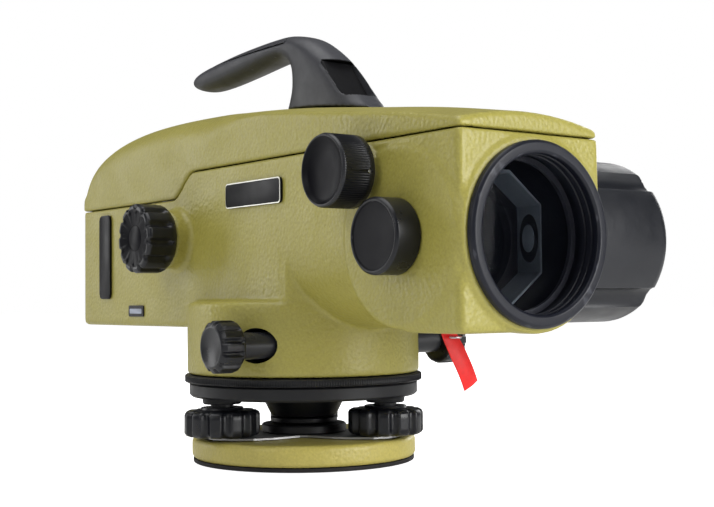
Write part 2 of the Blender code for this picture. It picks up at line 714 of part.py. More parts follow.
def tilting_plate():
    """The parallel plate in its octagonal frame, which tilts about the cross axis."""
    wide, flat = PLATE_FRAME_HALF, PLATE_FRAME_FLAT
    outline = [(flat, wide), (wide, flat), (wide, -flat), (flat, -wide)]
    outline += [(-u, -v) for u, v in outline]
    centre = Vector((0, PIVOT_Y, OPTICAL_Z))
    outline = [(u + OPTICAL_Z, v) for u, v in outline]
    frame = prism(outline, "Y", PIVOT_Y - 6, PIVOT_Y + 6, rim=0.8, rim_steps=1)
    ends = (-(CAP_X - 3), DRUM_KNOB_X[0] + 17)
    trunnions = [
        rod("X", (0, centre.y, centre.z), TRUNNION_R, ends[0], -wide + 1.5),
        rod("X", (0, centre.y, centre.z), TRUNNION_R, wide - 1.5, ends[1]),
    ]
    glass_bore = rod("Y", (0, 0, OPTICAL_Z), 23, PIVOT_Y - 20, PIVOT_Y + 20, 24)
    piece("plate_frame", cut(join(frame, *trunnions), glass_bore), "black_plastic", "plate_axis")
    plate = turned(disc(22.7, PIVOT_Y - 4, PIVOT_Y + 4, 0.4), "Y", (0, 0, OPTICAL_Z), 24)
    piece("parallel_plate", plate, "glass", "plate_axis")

    aim = math.degrees(math.atan2(MICRO_Z - OPTICAL_Z, MICRO_Y - PIVOT_Y))
    fan = arc(PIVOT_Y, OPTICAL_Z, SECTOR_R, aim - 26, aim + 26, 8)
    fan += arc(PIVOT_Y, OPTICAL_Z, SECTOR_HUB_R, aim + 60, aim + 300, 8)
    sector = prism(fan, "X", *SECTOR_X)
    hub_bore = rod("X", (0, PIVOT_Y, OPTICAL_Z), TRUNNION_R + GAP, -40, -20)
    piece("sector_gear", cut(sector, hub_bore), "brass", "plate_axis")


def micrometer():
    r, (inner, outer) = DRUM_KNOB_R, DRUM_KNOB_X
    rim = arc(outer - 5, r - 5, 5, 0, 90, 3)
    profile = [(0, outer)] + [(v, u) for u, v in rim] + [(r, inner + 2), (r - 1, inner)]
    profile += [(r - 4, inner), (r - 4, outer - 5), (10, outer - 5), (10, inner)]
    profile += [(TRUNNION_R + GAP, inner), (TRUNNION_R + GAP, inner + 18), (0, inner + 18)]
    drum = turned(profile, "X", (0, PIVOT_Y, OPTICAL_Z), 28)
    grooves = []
    for corner in GROOVE_ANGLES:
        u, v = polar(r + GROOVE_OUT, corner)
        grooves.append(rod("X", (0, PIVOT_Y + u, OPTICAL_Z + v), GROOVE_R, inner - 5, outer + 5, 14))
    piece("micrometer_drum", cut(drum, *grooves), "black_plastic", "plate_axis")

    near, far = -CROSS_BOSS_X - GAP, -CAP_X
    cap = turned(
        [(TRUNNION_R + GAP, near), (CAP_R - 0.5, near), (CAP_R, near - 0.5), (CAP_R, far + 1.2)]
        + [(CAP_R - 1.2, far), (CAP_R - 2.4, far), (CAP_R - 3, far + 0.6), (0, far + 0.6)]
        + [(0, far + 2.6), (TRUNNION_R + GAP, far + 2.6)],
        "X",
        (0, PIVOT_Y, OPTICAL_Z),
        24,
    )
    piece("pivot_cap", cap, "black_plastic", "plate_axis")

    centre = (0, MICRO_Y, MICRO_Z)
    low, high = MICRO_X
    knob = turned(
        [(SHAFT_R + GAP, -low), (MICRO_R - 0.8, -low), (MICRO_R, -low - 0.8), (MICRO_R, -high + 1.0)]
        + [(MICRO_R - 1.0, -high), (MICRO_R - 2.2, -high), (MICRO_R - 3.4, -high + 1.0), (0, -high + 1.8)]
        + [(0, -low - 11), (SHAFT_R + GAP, -low - 11)],
        "X",
        centre,
        32,
    )
    piece("micrometer_knob", knob, "black_plastic", "micrometer_axis")
    shaft = turned(
        [(0, -low - 10.6), (SHAFT_R, -low - 10.6), (SHAFT_R, -31.7), (PINION_R, -31.7)]
        + [(PINION_R, -27.6), (0, -27.6)],
        "X",
        centre,
        16,
    )
    piece("micrometer_pinion", shaft, "steel", "micrometer_axis")


# ---------------------------------------------------------------- focusing, compensator and eyepiece


def focusing():
    centre = (0, FOCUS_Y, FOCUS_Z)
    low, high = FOCUS_X
    knob = turned(
        [(SHAFT_R + GAP, -low), (FOCUS_R - 1.2, -low), (FOCUS_R, -low - 1.2), (FOCUS_R, -high + 1.4)]
        + [(FOCUS_R - 1.4, -high), (FOCUS_R - 3, -high), (FOCUS_R - 4, -high + 0.7), (0, -high + 0.7)]
        + [(0, -low - 9), (SHAFT_R + GAP, -low - 9)],
        "X",
        centre,
        36,
        flutes=(12, 1.5, 13.0),
    )
    piece("focus_knob", knob, "black_plastic", "focus_knob_axis")
    shaft = turned(
        [(0, -low - 8.6), (SHAFT_R, -low - 8.6), (SHAFT_R, -24.0), (FOCUS_PINION_R, -24.0)]
        + [(FOCUS_PINION_R, -18.0), (0, -18.0)],
        "X",
        centre,
        16,
    )
    piece("focus_pinion", shaft, "steel", "focus_knob_axis")

    front, rear = FOCUS_CELL_Y
    ring = rod("Y", (0, 0, OPTICAL_Z), 16.5, front, rear, 24)
    rack_top = FOCUS_Z - FOCUS_PINION_R - GAP
    rack = block((-23.5, -18.5), (front + 2, RACK_END_Y), (rack_top - 5, rack_top))
    arm = block((-23.5, -10), (front + 2, rear - 2), (rack_top - 5, rack_top))
    ear = block((-5, 5), (front, rear), (70, OPTICAL_Z - 10))
    glass_bore = rod("Y", (0, 0, OPTICAL_Z), 13.3, 0, 80, 20)
    rail_bore = rod("Y", (0, 0, RAIL_Z), RAIL_R + 0.4, 0, 80, 16)
    cell = cut(join(ring, rack, arm, ear), glass_bore, rail_bore)
    piece("focus_cell", cell, "aluminium", "focus_slide")
    lens = turned([(0, 30), (13, 28.5), (13, 35.5), (0, 34)], "Y", (0, 0, OPTICAL_Z), 24)
    piece("focus_lens", lens, "glass", "focus_slide")
    piece("focus_rail", rod("Y", (0, 0, RAIL_Z), RAIL_R, 2, 66, 16), "steel", "alidade_axis")
    stand_z = (FLOOR_Z + WALL + GAP, RAIL_Z - RAIL_R - 0.4)
    stands = [block((-5, 5), (y, y + 5), stand_z) for y in (2, 61)]
    for name, stand in zip(("rail_stand_front", "rail_stand_rear"), stands):
        piece(name, stand, "aluminium", "alidade_axis")


def compensator():
    y, top = PENDULUM_Y, PENDULUM_TOP
    floor = FLOOR_Z + WALL + GAP
    foot = block((-22, 22), (y - 14, y + 14), (floor, floor + 4))
    post_a = block((-22, -17), (y - 8, y + 8), (floor + 2, top + 4))
    post_b = block((17, 22), (y - 8, y + 8), (floor + 2, top + 4))
    bridge = block((-22, 22), (y - 8, y + 8), (top + 2, top + 6))
    piece("compensator_frame", join(foot, post_a, post_b, bridge), "aluminium", "alidade_axis")
    half = PENDULUM_HALF
    hanger = block((-half, half), (y - 3, y + 3), (top - 4, top + 1))
    arms = [block(x, (y - 3, y + 3), (76, top - 2)) for x in ((-half, -half + 2.5), (half - 2.5, half))]
    tray = block((-half, half), (y - 9, y + 9), (72, 77.5))
    piece("pendulum", join(hanger, *arms, tray), "aluminium", "pendulum_axis")
    outline = [(y - 8, 77.8), (y + 8, 77.8), (y + 8, 90), (y, 103), (y - 8, 90)]
    piece("pendulum_prism", prism(outline, "X", -9, 9), "glass", "pendulum_axis")


def eyepiece():
    axis_line = (0, 0, OPTICAL_Z)
    cell = turned(disc(15, RETICLE_Y - 5, RETICLE_Y + 1.7, 0, bore=9), "Y", axis_line, 24)
    piece("reticle_cell", cell, "aluminium", "alidade_axis")
    piece("reticle", rod("Y", axis_line, 10.5, RETICLE_Y + 2, RETICLE_Y + 3.5, 20), "glass", "alidade_axis")
    tube = turned(
        [(9.5, 146), (EYE_TUBE_R - GAP, 146), (EYE_TUBE_R - GAP, REAR_Y + GAP)]
        + [(20, REAR_Y + GAP), (20, 159.4), (19.2, 160.2), (EYE_TUBE_R, 160.2)]
        + [(EYE_TUBE_R, 172.0), (9.5, 172.0)],
        "Y",
        axis_line,
        20,
    )
    piece("eyepiece_tube", tube, "black_plastic", "alidade_axis")
    low, high = EYE_RING_Y
    bore = EYE_TUBE_R + GAP
    ring = turned(
        [(bore, low), (EYE_RING_R - 0.8, low), (EYE_RING_R, low + 0.8)]
        + [(EYE_RING_R, high - 3), (EYE_RING_R - 3, high)]
        + [(9.5, high), (9.0, high - 1), (9.0, 173.0), (bore, 173.0)],
        "Y",
        axis_line,
        30,
        flutes=(10, 0.8, 15.0),
    )
    piece("eyepiece_ring", ring, "black_plastic", "eyepiece_axis")
    lens = turned([(0, 173.2), (8.7, 174.0), (8.7, 176.0), (0, 177.2)], "Y", axis_line, 20)
    piece("eyepiece_lens", lens, "glass", "eyepiece_axis")


# ---------------------------------------------------------------- small fittings


def circular_level():
    """The bullseye level on the far side of the housing."""
    x, y = 50.5, 62.0
    cup = turned(disc(13, 72, 85, 1.0), "Z", (x, y, 0), 20)
    arm = block((HALF_WIDTH + GAP, x), (y - 8, y + 8), (73.5, 80))
    well = rod("Z", (x, y, 0), 10, 77, 90, 24)
    piece("level_housing", cut(join(cup, arm), well), "black_plastic", "alidade_axis")
    vial = turned([(0, 77.3), (9.7, 77.3), (9.7, 84.0), (5, 84.9), (0, 85.3)], "Z", (x, y, 0), 20)
    piece("level_vial", vial, "glass", "alidade_axis")


def plates_and_tag():
    side = -HALF_WIDTH
    name_plate = block((side - 1.1, side - 0.1), (-36.8, 7.5), (111.7, 122.6), 0.3)
    piece("nameplate", name_plate, "black_plastic", "alidade_axis")
    strip = block((side - 1.4, side - 0.1), (122.6, 134.5), (72.6, 115.7), 0.4)
    piece("side_strip", strip, "black_plastic", "alidade_axis")
    label = block((side - 0.7, side - 0.1), (86.9, 102.5), (63.7, 69.2), 0.15)
    piece("type_label", label, "black_plastic", "alidade_axis")

    y, top, lean = TAG_Y, FLOOR_Z - GAP, math.radians(TAG_LEAN)
    down = Vector((math.sin(lean), -math.cos(lean)))
    across = Vector((math.cos(lean), math.sin(lean))) * TAG_WIDTH / 2
    start = Vector((TAG_X, top - 0.4)) + 2.0 * down
    end = Vector((TAG_X, top)) + TAG_LENGTH * down
    corners = [start - across, start + across, end + across, end - across]
    strip = prism([(c.y, c.x) for c in corners], "Y", y - 0.5, y + 0.5)
    fold = block((TAG_X - 4.4, TAG_X + 5), (y - 7, y + 0.45), (top - 3, top), 0.2)
    hollow = block((TAG_X - 20, TAG_X + 20), (y - 20, y - 0.45), (top - 9, top - 0.8))
    piece("red_tag", cut(join(fold, strip), hollow), "red_plastic", "alidade_axis")
    screw = turned(disc(2.4, top - 2.0, top - 1.1, 0.3), "Z", (TAG_X, y - 3.8, 0), 12)
    piece("tag_screw", screw, "steel", "alidade_axis")


for old in list(bpy.data.objects):
    bpy.data.objects.remove(old)
MATERIALS = make_materials()
BODIES, PLACES = make_bodies()
for build in (
    base_plate,
    spring_plate,
    footscrews,
    tribrach,
    tangent_drive,
    main_housing,
    top_cover,
    carry_handle,
    front_optics,
    tilting_plate,
    micrometer,
    focusing,
    compensator,
    eyepiece,
    circular_level,
    plates_and_tag,
):
    build()
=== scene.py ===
"""Looks of the automatic level: detailed pieces, procedural materials, studio light and the camera.

Shapes are drawn in millimetres and turned into metres by shape(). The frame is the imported
CAD part's: the vertical axis is Z, the objective looks along -Y.
"""

import math

import bmesh
import bpy
from mathutils import Matrix, Vector


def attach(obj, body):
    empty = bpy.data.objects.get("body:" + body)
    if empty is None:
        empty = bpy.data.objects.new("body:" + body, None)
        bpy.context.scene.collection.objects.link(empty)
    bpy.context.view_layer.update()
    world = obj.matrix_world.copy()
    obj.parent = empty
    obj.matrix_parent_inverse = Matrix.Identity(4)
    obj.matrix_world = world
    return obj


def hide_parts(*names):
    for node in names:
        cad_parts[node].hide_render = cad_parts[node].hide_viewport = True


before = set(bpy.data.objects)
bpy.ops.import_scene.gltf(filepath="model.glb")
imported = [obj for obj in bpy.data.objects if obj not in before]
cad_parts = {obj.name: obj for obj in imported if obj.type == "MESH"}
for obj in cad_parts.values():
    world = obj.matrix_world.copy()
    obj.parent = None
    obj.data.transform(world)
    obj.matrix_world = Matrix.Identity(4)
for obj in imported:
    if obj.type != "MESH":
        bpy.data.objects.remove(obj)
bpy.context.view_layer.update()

MM = 0.001
TAU = 2 * math.pi

OPTICAL_Z = 94.2
HALF = 35.0
WALL = 3.0
FRONT_Y, REAR_Y = -147.2, 156.8
FLOOR_Z = 59.0
NECK_Y = -36.0
SEAM_Z = (131.2, 119.3)
SEAM_STEP_Y = (38.0, 58.5)
SEAM_GAP = 0.45
PIVOT_Y = -113.5
DRUM_R = 52.0
TANGENT_Y, TANGENT_Z = -28.5, 52.5
TANGENT_BORE_R = 7.4
PIVOT_BOSS_R = (34, 31.5)
PIVOT_BOSS_X = 36
FRONT_BOSS_R, FRONT_BOSS_Y = 35.8, -148.9
FOCUS_BOSS_R, FOCUS_BOSS_X = 13.65, -43
MICRO_BOSS_R, MICRO_BOSS_X = 10.9, -38.5
FRONT_BORE_R = 31.3
HANDLE_CAP_Z = 187.7
TILT_FRAME_Y = (-124.6, -108.0)
HOUSING_VOXEL, COVER_VOXEL, HANDLE_VOXEL = 0.9, 0.8, 0.5
MICRO_Y, MICRO_Z = -91.0, 119.5
FOCUS_Y, FOCUS_Z = 52.8, 100.2
SCREW_CIRCLE_R = 41.0
SCREW_ANGLES = (175.6, 295.6, 55.6)
CROWN = (
    (-147.2, 138.6),
    (-110.0, 144.7),
    (-74.0, 149.2),
    (-30.0, 154.5),
    (0.0, 157.0),
    (40.0, 159.0),
    (80.0, 159.3),
    (110.0, 157.5),
    (135.0, 153.0),
    (150.0, 146.0),
    (156.8, 135.0),
)
CROWN_DROP = 4.4
SHOULDER_R = (3.0, 15.0)
HANDLE_SECTIONS = (
    (-55.0, 148.0, 4.2, 150.0, 11.0, 3.4),
    (-54.5, 152.4, 3.0, 157.2, 11.0, 3.2),
    (-50.5, 156.4, 1.2, 161.0, 10.8, 3.2),
    (-45.0, 162.7, -0.2, 165.8, 10.6, 3.0),
    (-37.5, 170.7, -0.6, 171.2, 10.5, 2.8),
    (-27.0, 179.4, 0.0, 176.3, 10.4, 2.6),
    (-14.0, 187.4, 3.0, 180.1, 10.2, 2.4),
    (-2.0, 191.0, 8.0, 181.8, 10.0, 2.3),
    (9.0, 191.7, 15.0, 181.6, 10.0, 2.2),
    (26.0, 191.5, 27.0, 180.3, 9.8, 2.2),
    (46.0, 190.7, 45.0, 178.3, 9.5, 2.2),
    (66.0, 189.0, 63.0, 176.8, 9.2, 2.2),
    (81.0, 187.2, 77.0, 176.5, 8.4, 2.2),
    (89.0, 185.4, 85.0, 177.7, 6.6, 2.0),
    (93.0, 182.6, 90.0, 179.3, 3.5, 2.0),
)


# ---------------------------------------------------------------- shapes


def on_axis(axis, u, v, t):
    return Vector({"X": (t, u, v), "Y": (v, t, u), "Z": (u, v, t)}[axis])


def shape(bm, sharp=34):
    """A bmesh in millimetres as an object in metres, faces outwards, smooth but for its sharp edges."""
    bmesh.ops.scale(bm, vec=(MM, MM, MM), verts=bm.verts)
    bmesh.ops.recalc_face_normals(bm, faces=bm.faces)
    mesh = bpy.data.meshes.new("shape")
    bm.to_mesh(mesh)
    bm.free()
    mesh.shade_smooth()
    mesh.set_sharp_from_angle(angle=math.radians(sharp))
    obj = bpy.data.objects.new("shape", mesh)
    bpy.context.scene.collection.objects.link(obj)
    return obj


def rounded(points, size, steps=4, closed=True):
    """The outline with its corners rounded. size is one number, or one for each point."""
    sizes = size if isinstance(size, (list, tuple)) else [size] * len(points)
    points = [Vector(p) for p in points]
    count = len(points)
    found = []
    for i, point in enumerate(points):
        if not closed and i in (0, count - 1):
            found.append(tuple(point))
            continue
        back, ahead = points[i - 1] - point, points[(i + 1) % count] - point
        reach = min(sizes[i], 0.45 * back.length, 0.45 * ahead.length)
        if reach < 1e-6:
            found.append(tuple(point))
            continue
        a, b = point + back.normalized() * reach, point + ahead.normalized() * reach
        for k in range(steps + 1):
            t = k / steps
            found.append(tuple(a * (1 - t) ** 2 + point * 2 * t * (1 - t) + b * t * t))
    return found


def turned(profile, axis="Z", centre=(0, 0, 0), angles=128, radial=None):
    """A turned body from a closed loop of (radius, place along the axis).

    radial(angle, radius, place) gives the radius where the body isn't round."""
    if isinstance(angles, int):
        angles = [TAU * i / angles for i in range(angles)]
    bm = bmesh.new()
    rings = []
    for radius, t in profile:
        if radius < 1e-6:
            rings.append([bm.verts.new(Vector(centre) + on_axis(axis, 0, 0, t))])
            continue
        ring = []
        for a in angles:
            r = radial(a, radius, t) if radial else radius
            point = on_axis(axis, r * math.cos(a), r * math.sin(a), t)
            ring.append(bm.verts.new(Vector(centre) + point))
        rings.append(ring)
    count = len(angles)
    for first, second in zip(rings, rings[1:] + rings[:1]):
        if len(first) == 1 and len(second) == 1:
            continue
        for i in range(count):
            j = (i + 1) % count
            corners = [first[i % len(first)], first[j % len(first)]]
            corners += [second[j % len(second)], second[i % len(second)]]
            bm.faces.new(list(dict.fromkeys(corners)))
    return shape(bm)


def prism(outline, axis, t0, t1, rim=0.0, rim_steps=3):
    bm = bmesh.new()
    lower = [bm.verts.new(on_axis(axis, u, v, t0)) for u, v in outline]
    upper = [bm.verts.new(on_axis(axis, u, v, t1)) for u, v in outline]
    ends = [bm.faces.new(lower[::-1]), bm.faces.new(upper)]
    for i in range(len(outline)):
        j = (i + 1) % len(outline)
        bm.faces.new([lower[i], lower[j], upper[j], upper[i]])
    if rim:
        edges = {edge for face in ends for edge in face.edges}
        bevel_edges(bm, edges, rim, rim_steps)
    return shape(bm)


def bevel_edges(bm, edges, size, steps):
    options = {"affect": "EDGES", "profile": 0.5, "clamp_overlap": True}
    bmesh.ops.bevel(bm, geom=list(edges), offset=size, segments=steps, **options)


def block(x, y, z, rim=0.0, rim_steps=3):
    bm = bmesh.new()
    bmesh.ops.create_cube(bm, size=1)
    for vert in bm.verts:
        vert.co = [span[0] if c < 0 else span[1] for span, c in zip((x, y, z), vert.co)]
    if rim:
        bevel_edges(bm, bm.edges, rim, rim_steps)
    return shape(bm)


def disc(r, t0, t1):
    """The profile of a solid disc or rod."""
    return [(0, t0), (r, t0), (r, t1), (0, t1)]


def rod(axis, centre, r, t0, t1, angles=64):
    return turned(disc(r, t0, t1), axis, centre, angles)


def rectangle(u0, v0, u1, v1):
    return [(u0, v0), (u1, v0), (u1, v1), (u0, v1)]


def arc(cu, cv, r, start, end, steps):
    points = []
    for i in range(steps + 1):
        a = math.radians(start + (end - start) * i / steps)
        points.append((cu + r * math.cos(a), cv + r * math.sin(a)))
    return points


def polar(r, degrees):
    return r * math.cos(math.radians(degrees)), r * math.sin(math.radians(degrees))


def applied(obj):
    """Leaves obj with one plain mesh, its modifiers applied."""
    bpy.context.view_layer.update()
    graph = bpy.context.evaluated_depsgraph_get()
    mesh = bpy.data.meshes.new_from_object(obj.evaluated_get(graph))
    obj.modifiers.clear()
    obj.data = mesh
    return obj


def combine(obj, others, operation):
    for other in others:
        modifier = obj.modifiers.new(operation, "BOOLEAN")
        modifier.operation = operation
        modifier.solver = "MANIFOLD"
        modifier.object = other
    applied(obj)
    for other in others:
        bpy.data.objects.remove(other)
    return obj


def join(obj, *others):
    return combine(obj, others, "UNION")


def cut(obj, *others, sharp=34):
    combine(obj, others, "DIFFERENCE")
    obj.data.shade_smooth()
    obj.data.set_sharp_from_angle(angle=math.radians(sharp))
    return obj


def cast(obj, voxel, relax, most=190000):
    """Gives a body the softened edges and inner corners of a painted casting."""
    remesh = obj.modifiers.new("remesh", "REMESH")
    remesh.mode = "VOXEL"
    remesh.voxel_size = voxel * MM
    smooth = obj.modifiers.new("relax", "SMOOTH")
    smooth.factor = 0.5
    smooth.iterations = relax
    applied(obj)
    triangles = 2 * len(obj.data.polygons)
    if triangles > most:
        fewer = obj.modifiers.new("fewer", "DECIMATE")
        fewer.ratio = most / triangles
        applied(obj)
    obj.data.shade_smooth()
    return obj


def grooves(count, depth, share, from_r, fade=None, phase=0.0):
    """Hollow grooves along a knob. share is a groove's part of the pitch; fade(place) is 0 to 1."""

    def radial(angle, radius, place):
        if radius < from_r:
            return radius
        off = (angle * count / TAU + phase) % 1.0 - 0.5
        side = min(1.0, abs(off) / (share / 2))
        strength = fade(place) if fade else 1.0
        return radius - depth * (1 - side * side) ** 1.1 * strength

    return radial


def step(value, low, high):
    t = min(1.0, max(0.0, (value - low) / (high - low)))
    return t * t * (3 - 2 * t)


# ---------------------------------------------------------------- materials


def srgb(r, g, b):
    def linear(c):
        c /= 255
        return c / 12.92 if c <= 0.04045 else ((c + 0.055) / 1.055) ** 2.4

    return linear(r), linear(g), linear(b)


def scaled(colour, factor):
    return tuple(min(1.0, c * factor) for c in colour) + (1,)


class Finish:
    """A node material made of Principled with noise in its colour, its gloss and its surface."""

    def __init__(self, name, colour, rough, metal=0.0):
        self.material = bpy.data.materials.new(name)
        self.material.use_nodes = True
        self.tree = self.material.node_tree
        self.bsdf = self.tree.nodes["Principled BSDF"]
        self.bsdf.inputs["Metallic"].default_value = metal
        self.bsdf.inputs["Roughness"].default_value = rough
        self.bsdf.inputs["Base Color"].default_value = (*colour, 1)
        self.colour = colour
        self.place = self.node("ShaderNodeTexCoord").outputs["Object"]

    def node(self, kind, **inputs):
        node = self.tree.nodes.new(kind)
        for name, value in inputs.items():
            node.inputs[name].default_value = value
        return node

    def link(self, output, target):
        self.tree.links.new(output, target)

    def noise(self, scale, detail=3.0, rough=0.55, stretch=None):
        node = self.node("ShaderNodeTexNoise", Scale=scale, Detail=detail, Roughness=rough)
        source = self.place
        if stretch:
            mapping = self.node("ShaderNodeMapping")
            mapping.inputs["Scale"].default_value = stretch
            self.link(source, mapping.inputs["Vector"])
            source = mapping.outputs["Vector"]
        self.link(source, node.inputs["Vector"])
        return node.outputs["Fac"]

    def cells(self, scale):
        node = self.node("ShaderNodeTexVoronoi", Scale=scale)
        node.feature = "SMOOTH_F1"
        self.link(self.place, node.inputs["Vector"])
        return node.outputs["Distance"]

    def ranged(self, value, low, high, from_low=0.3, from_high=0.7):
        node = self.tree.nodes.new("ShaderNodeMapRange")
        node.inputs["From Min"].default_value = from_low
        node.inputs["From Max"].default_value = from_high
        node.inputs["To Min"].default_value = low
        node.inputs["To Max"].default_value = high
        self.link(value, node.inputs["Value"])
        return node.outputs["Result"]

    def mixed(self, factor, first, second):
        node = self.tree.nodes.new("ShaderNodeMix")
        node.data_type = "RGBA"
        self.link(factor, node.inputs["Factor"])
        for value, socket in ((first, node.inputs[6]), (second, node.inputs[7])):
            if hasattr(value, "is_output"):
                self.link(value, socket)
            else:
                socket.default_value = value
        return node.outputs[2]

    def tint(self, scale, spread, slow=14.0, slow_spread=0.08):
        """Fine and slow variation of the colour."""
        fine = self.ranged(self.noise(scale, 4.0), 0, 1)
        near = self.mixed(fine, scaled(self.colour, 1 - spread), scaled(self.colour, 1 + spread))
        wide = self.ranged(self.noise(slow, 2.0), 0, 1)
        far = scaled(self.colour, 1 - slow_spread)
        cloud = self.mixed(wide, far, scaled(self.colour, 1 + slow_spread))
        half = self.tree.nodes.new("ShaderNodeMix")
        half.data_type = "RGBA"
        half.inputs["Factor"].default_value = 0.4
        self.link(near, half.inputs[6])
        self.link(cloud, half.inputs[7])
        self.link(half.outputs[2], self.bsdf.inputs["Base Color"])
        return half.outputs[2]

    def gloss(self, scale, low, high):
        result = self.ranged(self.noise(scale, 3.0), low, high)
        self.link(result, self.bsdf.inputs["Roughness"])

    def bump(self, layers):
        """layers holds (height output, strength, distance in millimetres), the finest last."""
        normal = None
        for height, strength, distance in layers:
            node = self.tree.nodes.new("ShaderNodeBump")
            node.inputs["Strength"].default_value = strength
            node.inputs["Distance"].default_value = distance * MM
            self.link(height, node.inputs["Height"])
            if normal:
                self.link(normal, node.inputs["Normal"])
            normal = node.outputs["Normal"]
        self.link(normal, self.bsdf.inputs["Normal"])



def paint(name, colour):
    finish = Finish(name, colour, 0.4)
    finish.tint(1100.0, 0.16, 16.0, 0.07)
    finish.gloss(60.0, 0.34, 0.48)
    finish.bump(((finish.cells(620.0), 1.0, 0.24), (finish.noise(1300.0, 3.0), 0.5, 0.13)))
    finish.bsdf.inputs["Specular IOR Level"].default_value = 0.5
    # paler olive along outer edges: painted highlight
    painted_edge_highlight(finish, 0.5, scaled(colour, 1.5)[:3])
    return finish.material


def painted_edge_highlight(finish, amount, colour):
    """Paler colour along outer edges: a painted highlight where the rounded edges catch the light."""
    edge = finish.node("ShaderNodeNewGeometry").outputs["Pointiness"]
    near = finish.ranged(edge, 0.0, amount, 0.53, 0.62)
    now = finish.bsdf.inputs["Base Color"].links[0].from_socket
    mixed = finish.mixed(near, now, (*colour, 1))
    finish.link(mixed, finish.bsdf.inputs["Base Color"])


def plastic(name, colour, low, high, grain=0.12, shine=0.35):
    finish = Finish(name, colour, low)
    finish.tint(500.0, 0.12, 24.0, 0.15)
    finish.gloss(140.0, low, high)
    finish.bump(((finish.noise(2600.0, 3.0), grain, 0.06),))
    finish.bsdf.inputs["Specular IOR Level"].default_value = shine
    # paler grey along outer edges: painted highlight
    painted_edge_highlight(finish, 0.6, tuple(0.04 + 2.2 * c for c in colour))
    return finish.material


def metal(name, colour, low, high, stretch=(1, 1, 1)):
    finish = Finish(name, colour, low, 1.0)
    finish.tint(260.0, 0.08, 30.0, 0.08)
    streaks = finish.noise(700.0, 3.0, stretch=stretch)
    finish.link(finish.ranged(streaks, low, high), finish.bsdf.inputs["Roughness"])
    finish.bump(((streaks, 0.12, 0.03),))
    return finish.material


def glass(name, tint, alpha, rough=0.02):
    """Clear glass as a thin tint that lets light through, with slightly uneven gloss."""
    finish = Finish(name, tint, rough)
    finish.tint(30.0, 0.2, 9.0, 0.2)
    finish.bsdf.inputs["Alpha"].default_value = alpha
    finish.bsdf.inputs["Specular IOR Level"].default_value = 0.6
    smears = finish.ranged(finish.noise(40.0, 3.0), rough, rough + 0.05)
    finish.link(smears, finish.bsdf.inputs["Roughness"])
    return finish.material


OLIVE = srgb(159, 151, 73)
INK = (0.0055, 0.006, 0.0085)
M = {
    "olive": paint("olive_wrinkle_paint", OLIVE),
    "olive_base": paint("olive_base_paint", srgb(180, 168, 88)),
    "knob": plastic("black_knob_plastic", INK, 0.26, 0.38, 0.08, shine=0.38),
    # a darker, duller black for the knobs' recessed ends: painted shade
    "face": plastic("knob_end_painted_shade", (0.003, 0.003, 0.005), 0.34, 0.46, 0.05, shine=0.12),
    "drum": plastic("drum_black_anodised", (0.009, 0.010, 0.0135), 0.32, 0.42, 0.06),
    "satin": plastic("satin_black_metal", (0.005, 0.0052, 0.0065), 0.36, 0.5, 0.12, shine=0.25),
    "bezel": plastic("bezel_black", (0.008, 0.0092, 0.0155), 0.32, 0.42, 0.05, shine=0.3),
    "handle": plastic("handle_charcoal_plastic", (0.042, 0.043, 0.050), 0.40, 0.52, 0.22),
    "lining": plastic("matt_black_lining", (0.004, 0.004, 0.005), 0.6, 0.75, 0.2, shine=0.15),
    # a flat blue-grey for the bare aluminium frame and its bosses: painted shade and painted reflection
    "frame_shaded_aluminium": plastic("aluminium_frame_painted_shade", srgb(112, 122, 132), 0.42, 0.55, 0.06),
    "rubber": plastic("black_rubber", (0.010, 0.009, 0.010), 0.6, 0.75, 0.5),
    "steel": metal("turned_steel", (0.52, 0.52, 0.54), 0.22, 0.38),
    "spring": metal("spring_plate_steel", (0.42, 0.42, 0.42), 0.38, 0.55),
    "brass": metal("machined_brass", (0.62, 0.44, 0.17), 0.25, 0.4),
    "aluminium": metal("machined_aluminium", (0.55, 0.56, 0.58), 0.3, 0.45),
    "border": metal("plate_border_silver", (0.72, 0.72, 0.66), 0.35, 0.5),
    "grey_bar": plastic("label_grey_bar", srgb(128, 134, 148), 0.3, 0.45, 0.05),
    "plate": plastic("nameplate_black", (0.0045, 0.0045, 0.006), 0.30, 0.42, 0.03, shine=0.15),
    "red": plastic("red_tag_plastic", srgb(222, 28, 26), 0.36, 0.5, 0.08),
    "window": glass("coated_window_glass", (0.01, 0.012, 0.02), 0.06),
    "lens": glass("coated_lens_glass", (0.05, 0.05, 0.10), 0.45),
    "vial": glass("level_vial_glass", (0.55, 0.72, 0.25), 0.6),
}


# ---------------------------------------------------------------- pieces


def piece(name, obj, finish, body, nodes=()):
    obj.name = name
    obj.data.name = name
    if finish:
        obj.data.materials.clear()
        obj.data.materials.append(M[finish])
    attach(obj, body)
    if nodes:
        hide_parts(*nodes)
    return obj


def second_finish(obj, finish, chosen):
    """Gives the faces for which chosen(centre in mm) holds a second material."""
    obj.data.materials.append(M[finish])
    for polygon in obj.data.polygons:
        if chosen(polygon.center / MM):
            polygon.material_index = 1


def seam_z(y):
    t = (y - SEAM_STEP_Y[0]) / (SEAM_STEP_Y[1] - SEAM_STEP_Y[0])
    t = min(1.0, max(0.0, t))
    return SEAM_Z[0] + (SEAM_Z[1] - SEAM_Z[0]) * t * t * (3 - 2 * t)


def smooth_rows(rows, steps):
    """Rows of numbers with steps - 1 more between each two, on a smooth curve through them."""
    found = []
    for i in range(len(rows) - 1):
        before, first = rows[max(i - 1, 0)], rows[i]
        second, after = rows[i + 1], rows[min(i + 2, len(rows) - 1)]
        for k in range(steps):
            t = k / steps
            row = []
            for a, b, c, d in zip(before, first, second, after):
                bend = (2 * a - 5 * b + 4 * c - d) * t + (3 * b - a - 3 * c + d) * t * t
                row.append(b + 0.5 * t * (c - a + bend))
            found.append(row)
    return found + [list(rows[-1])]


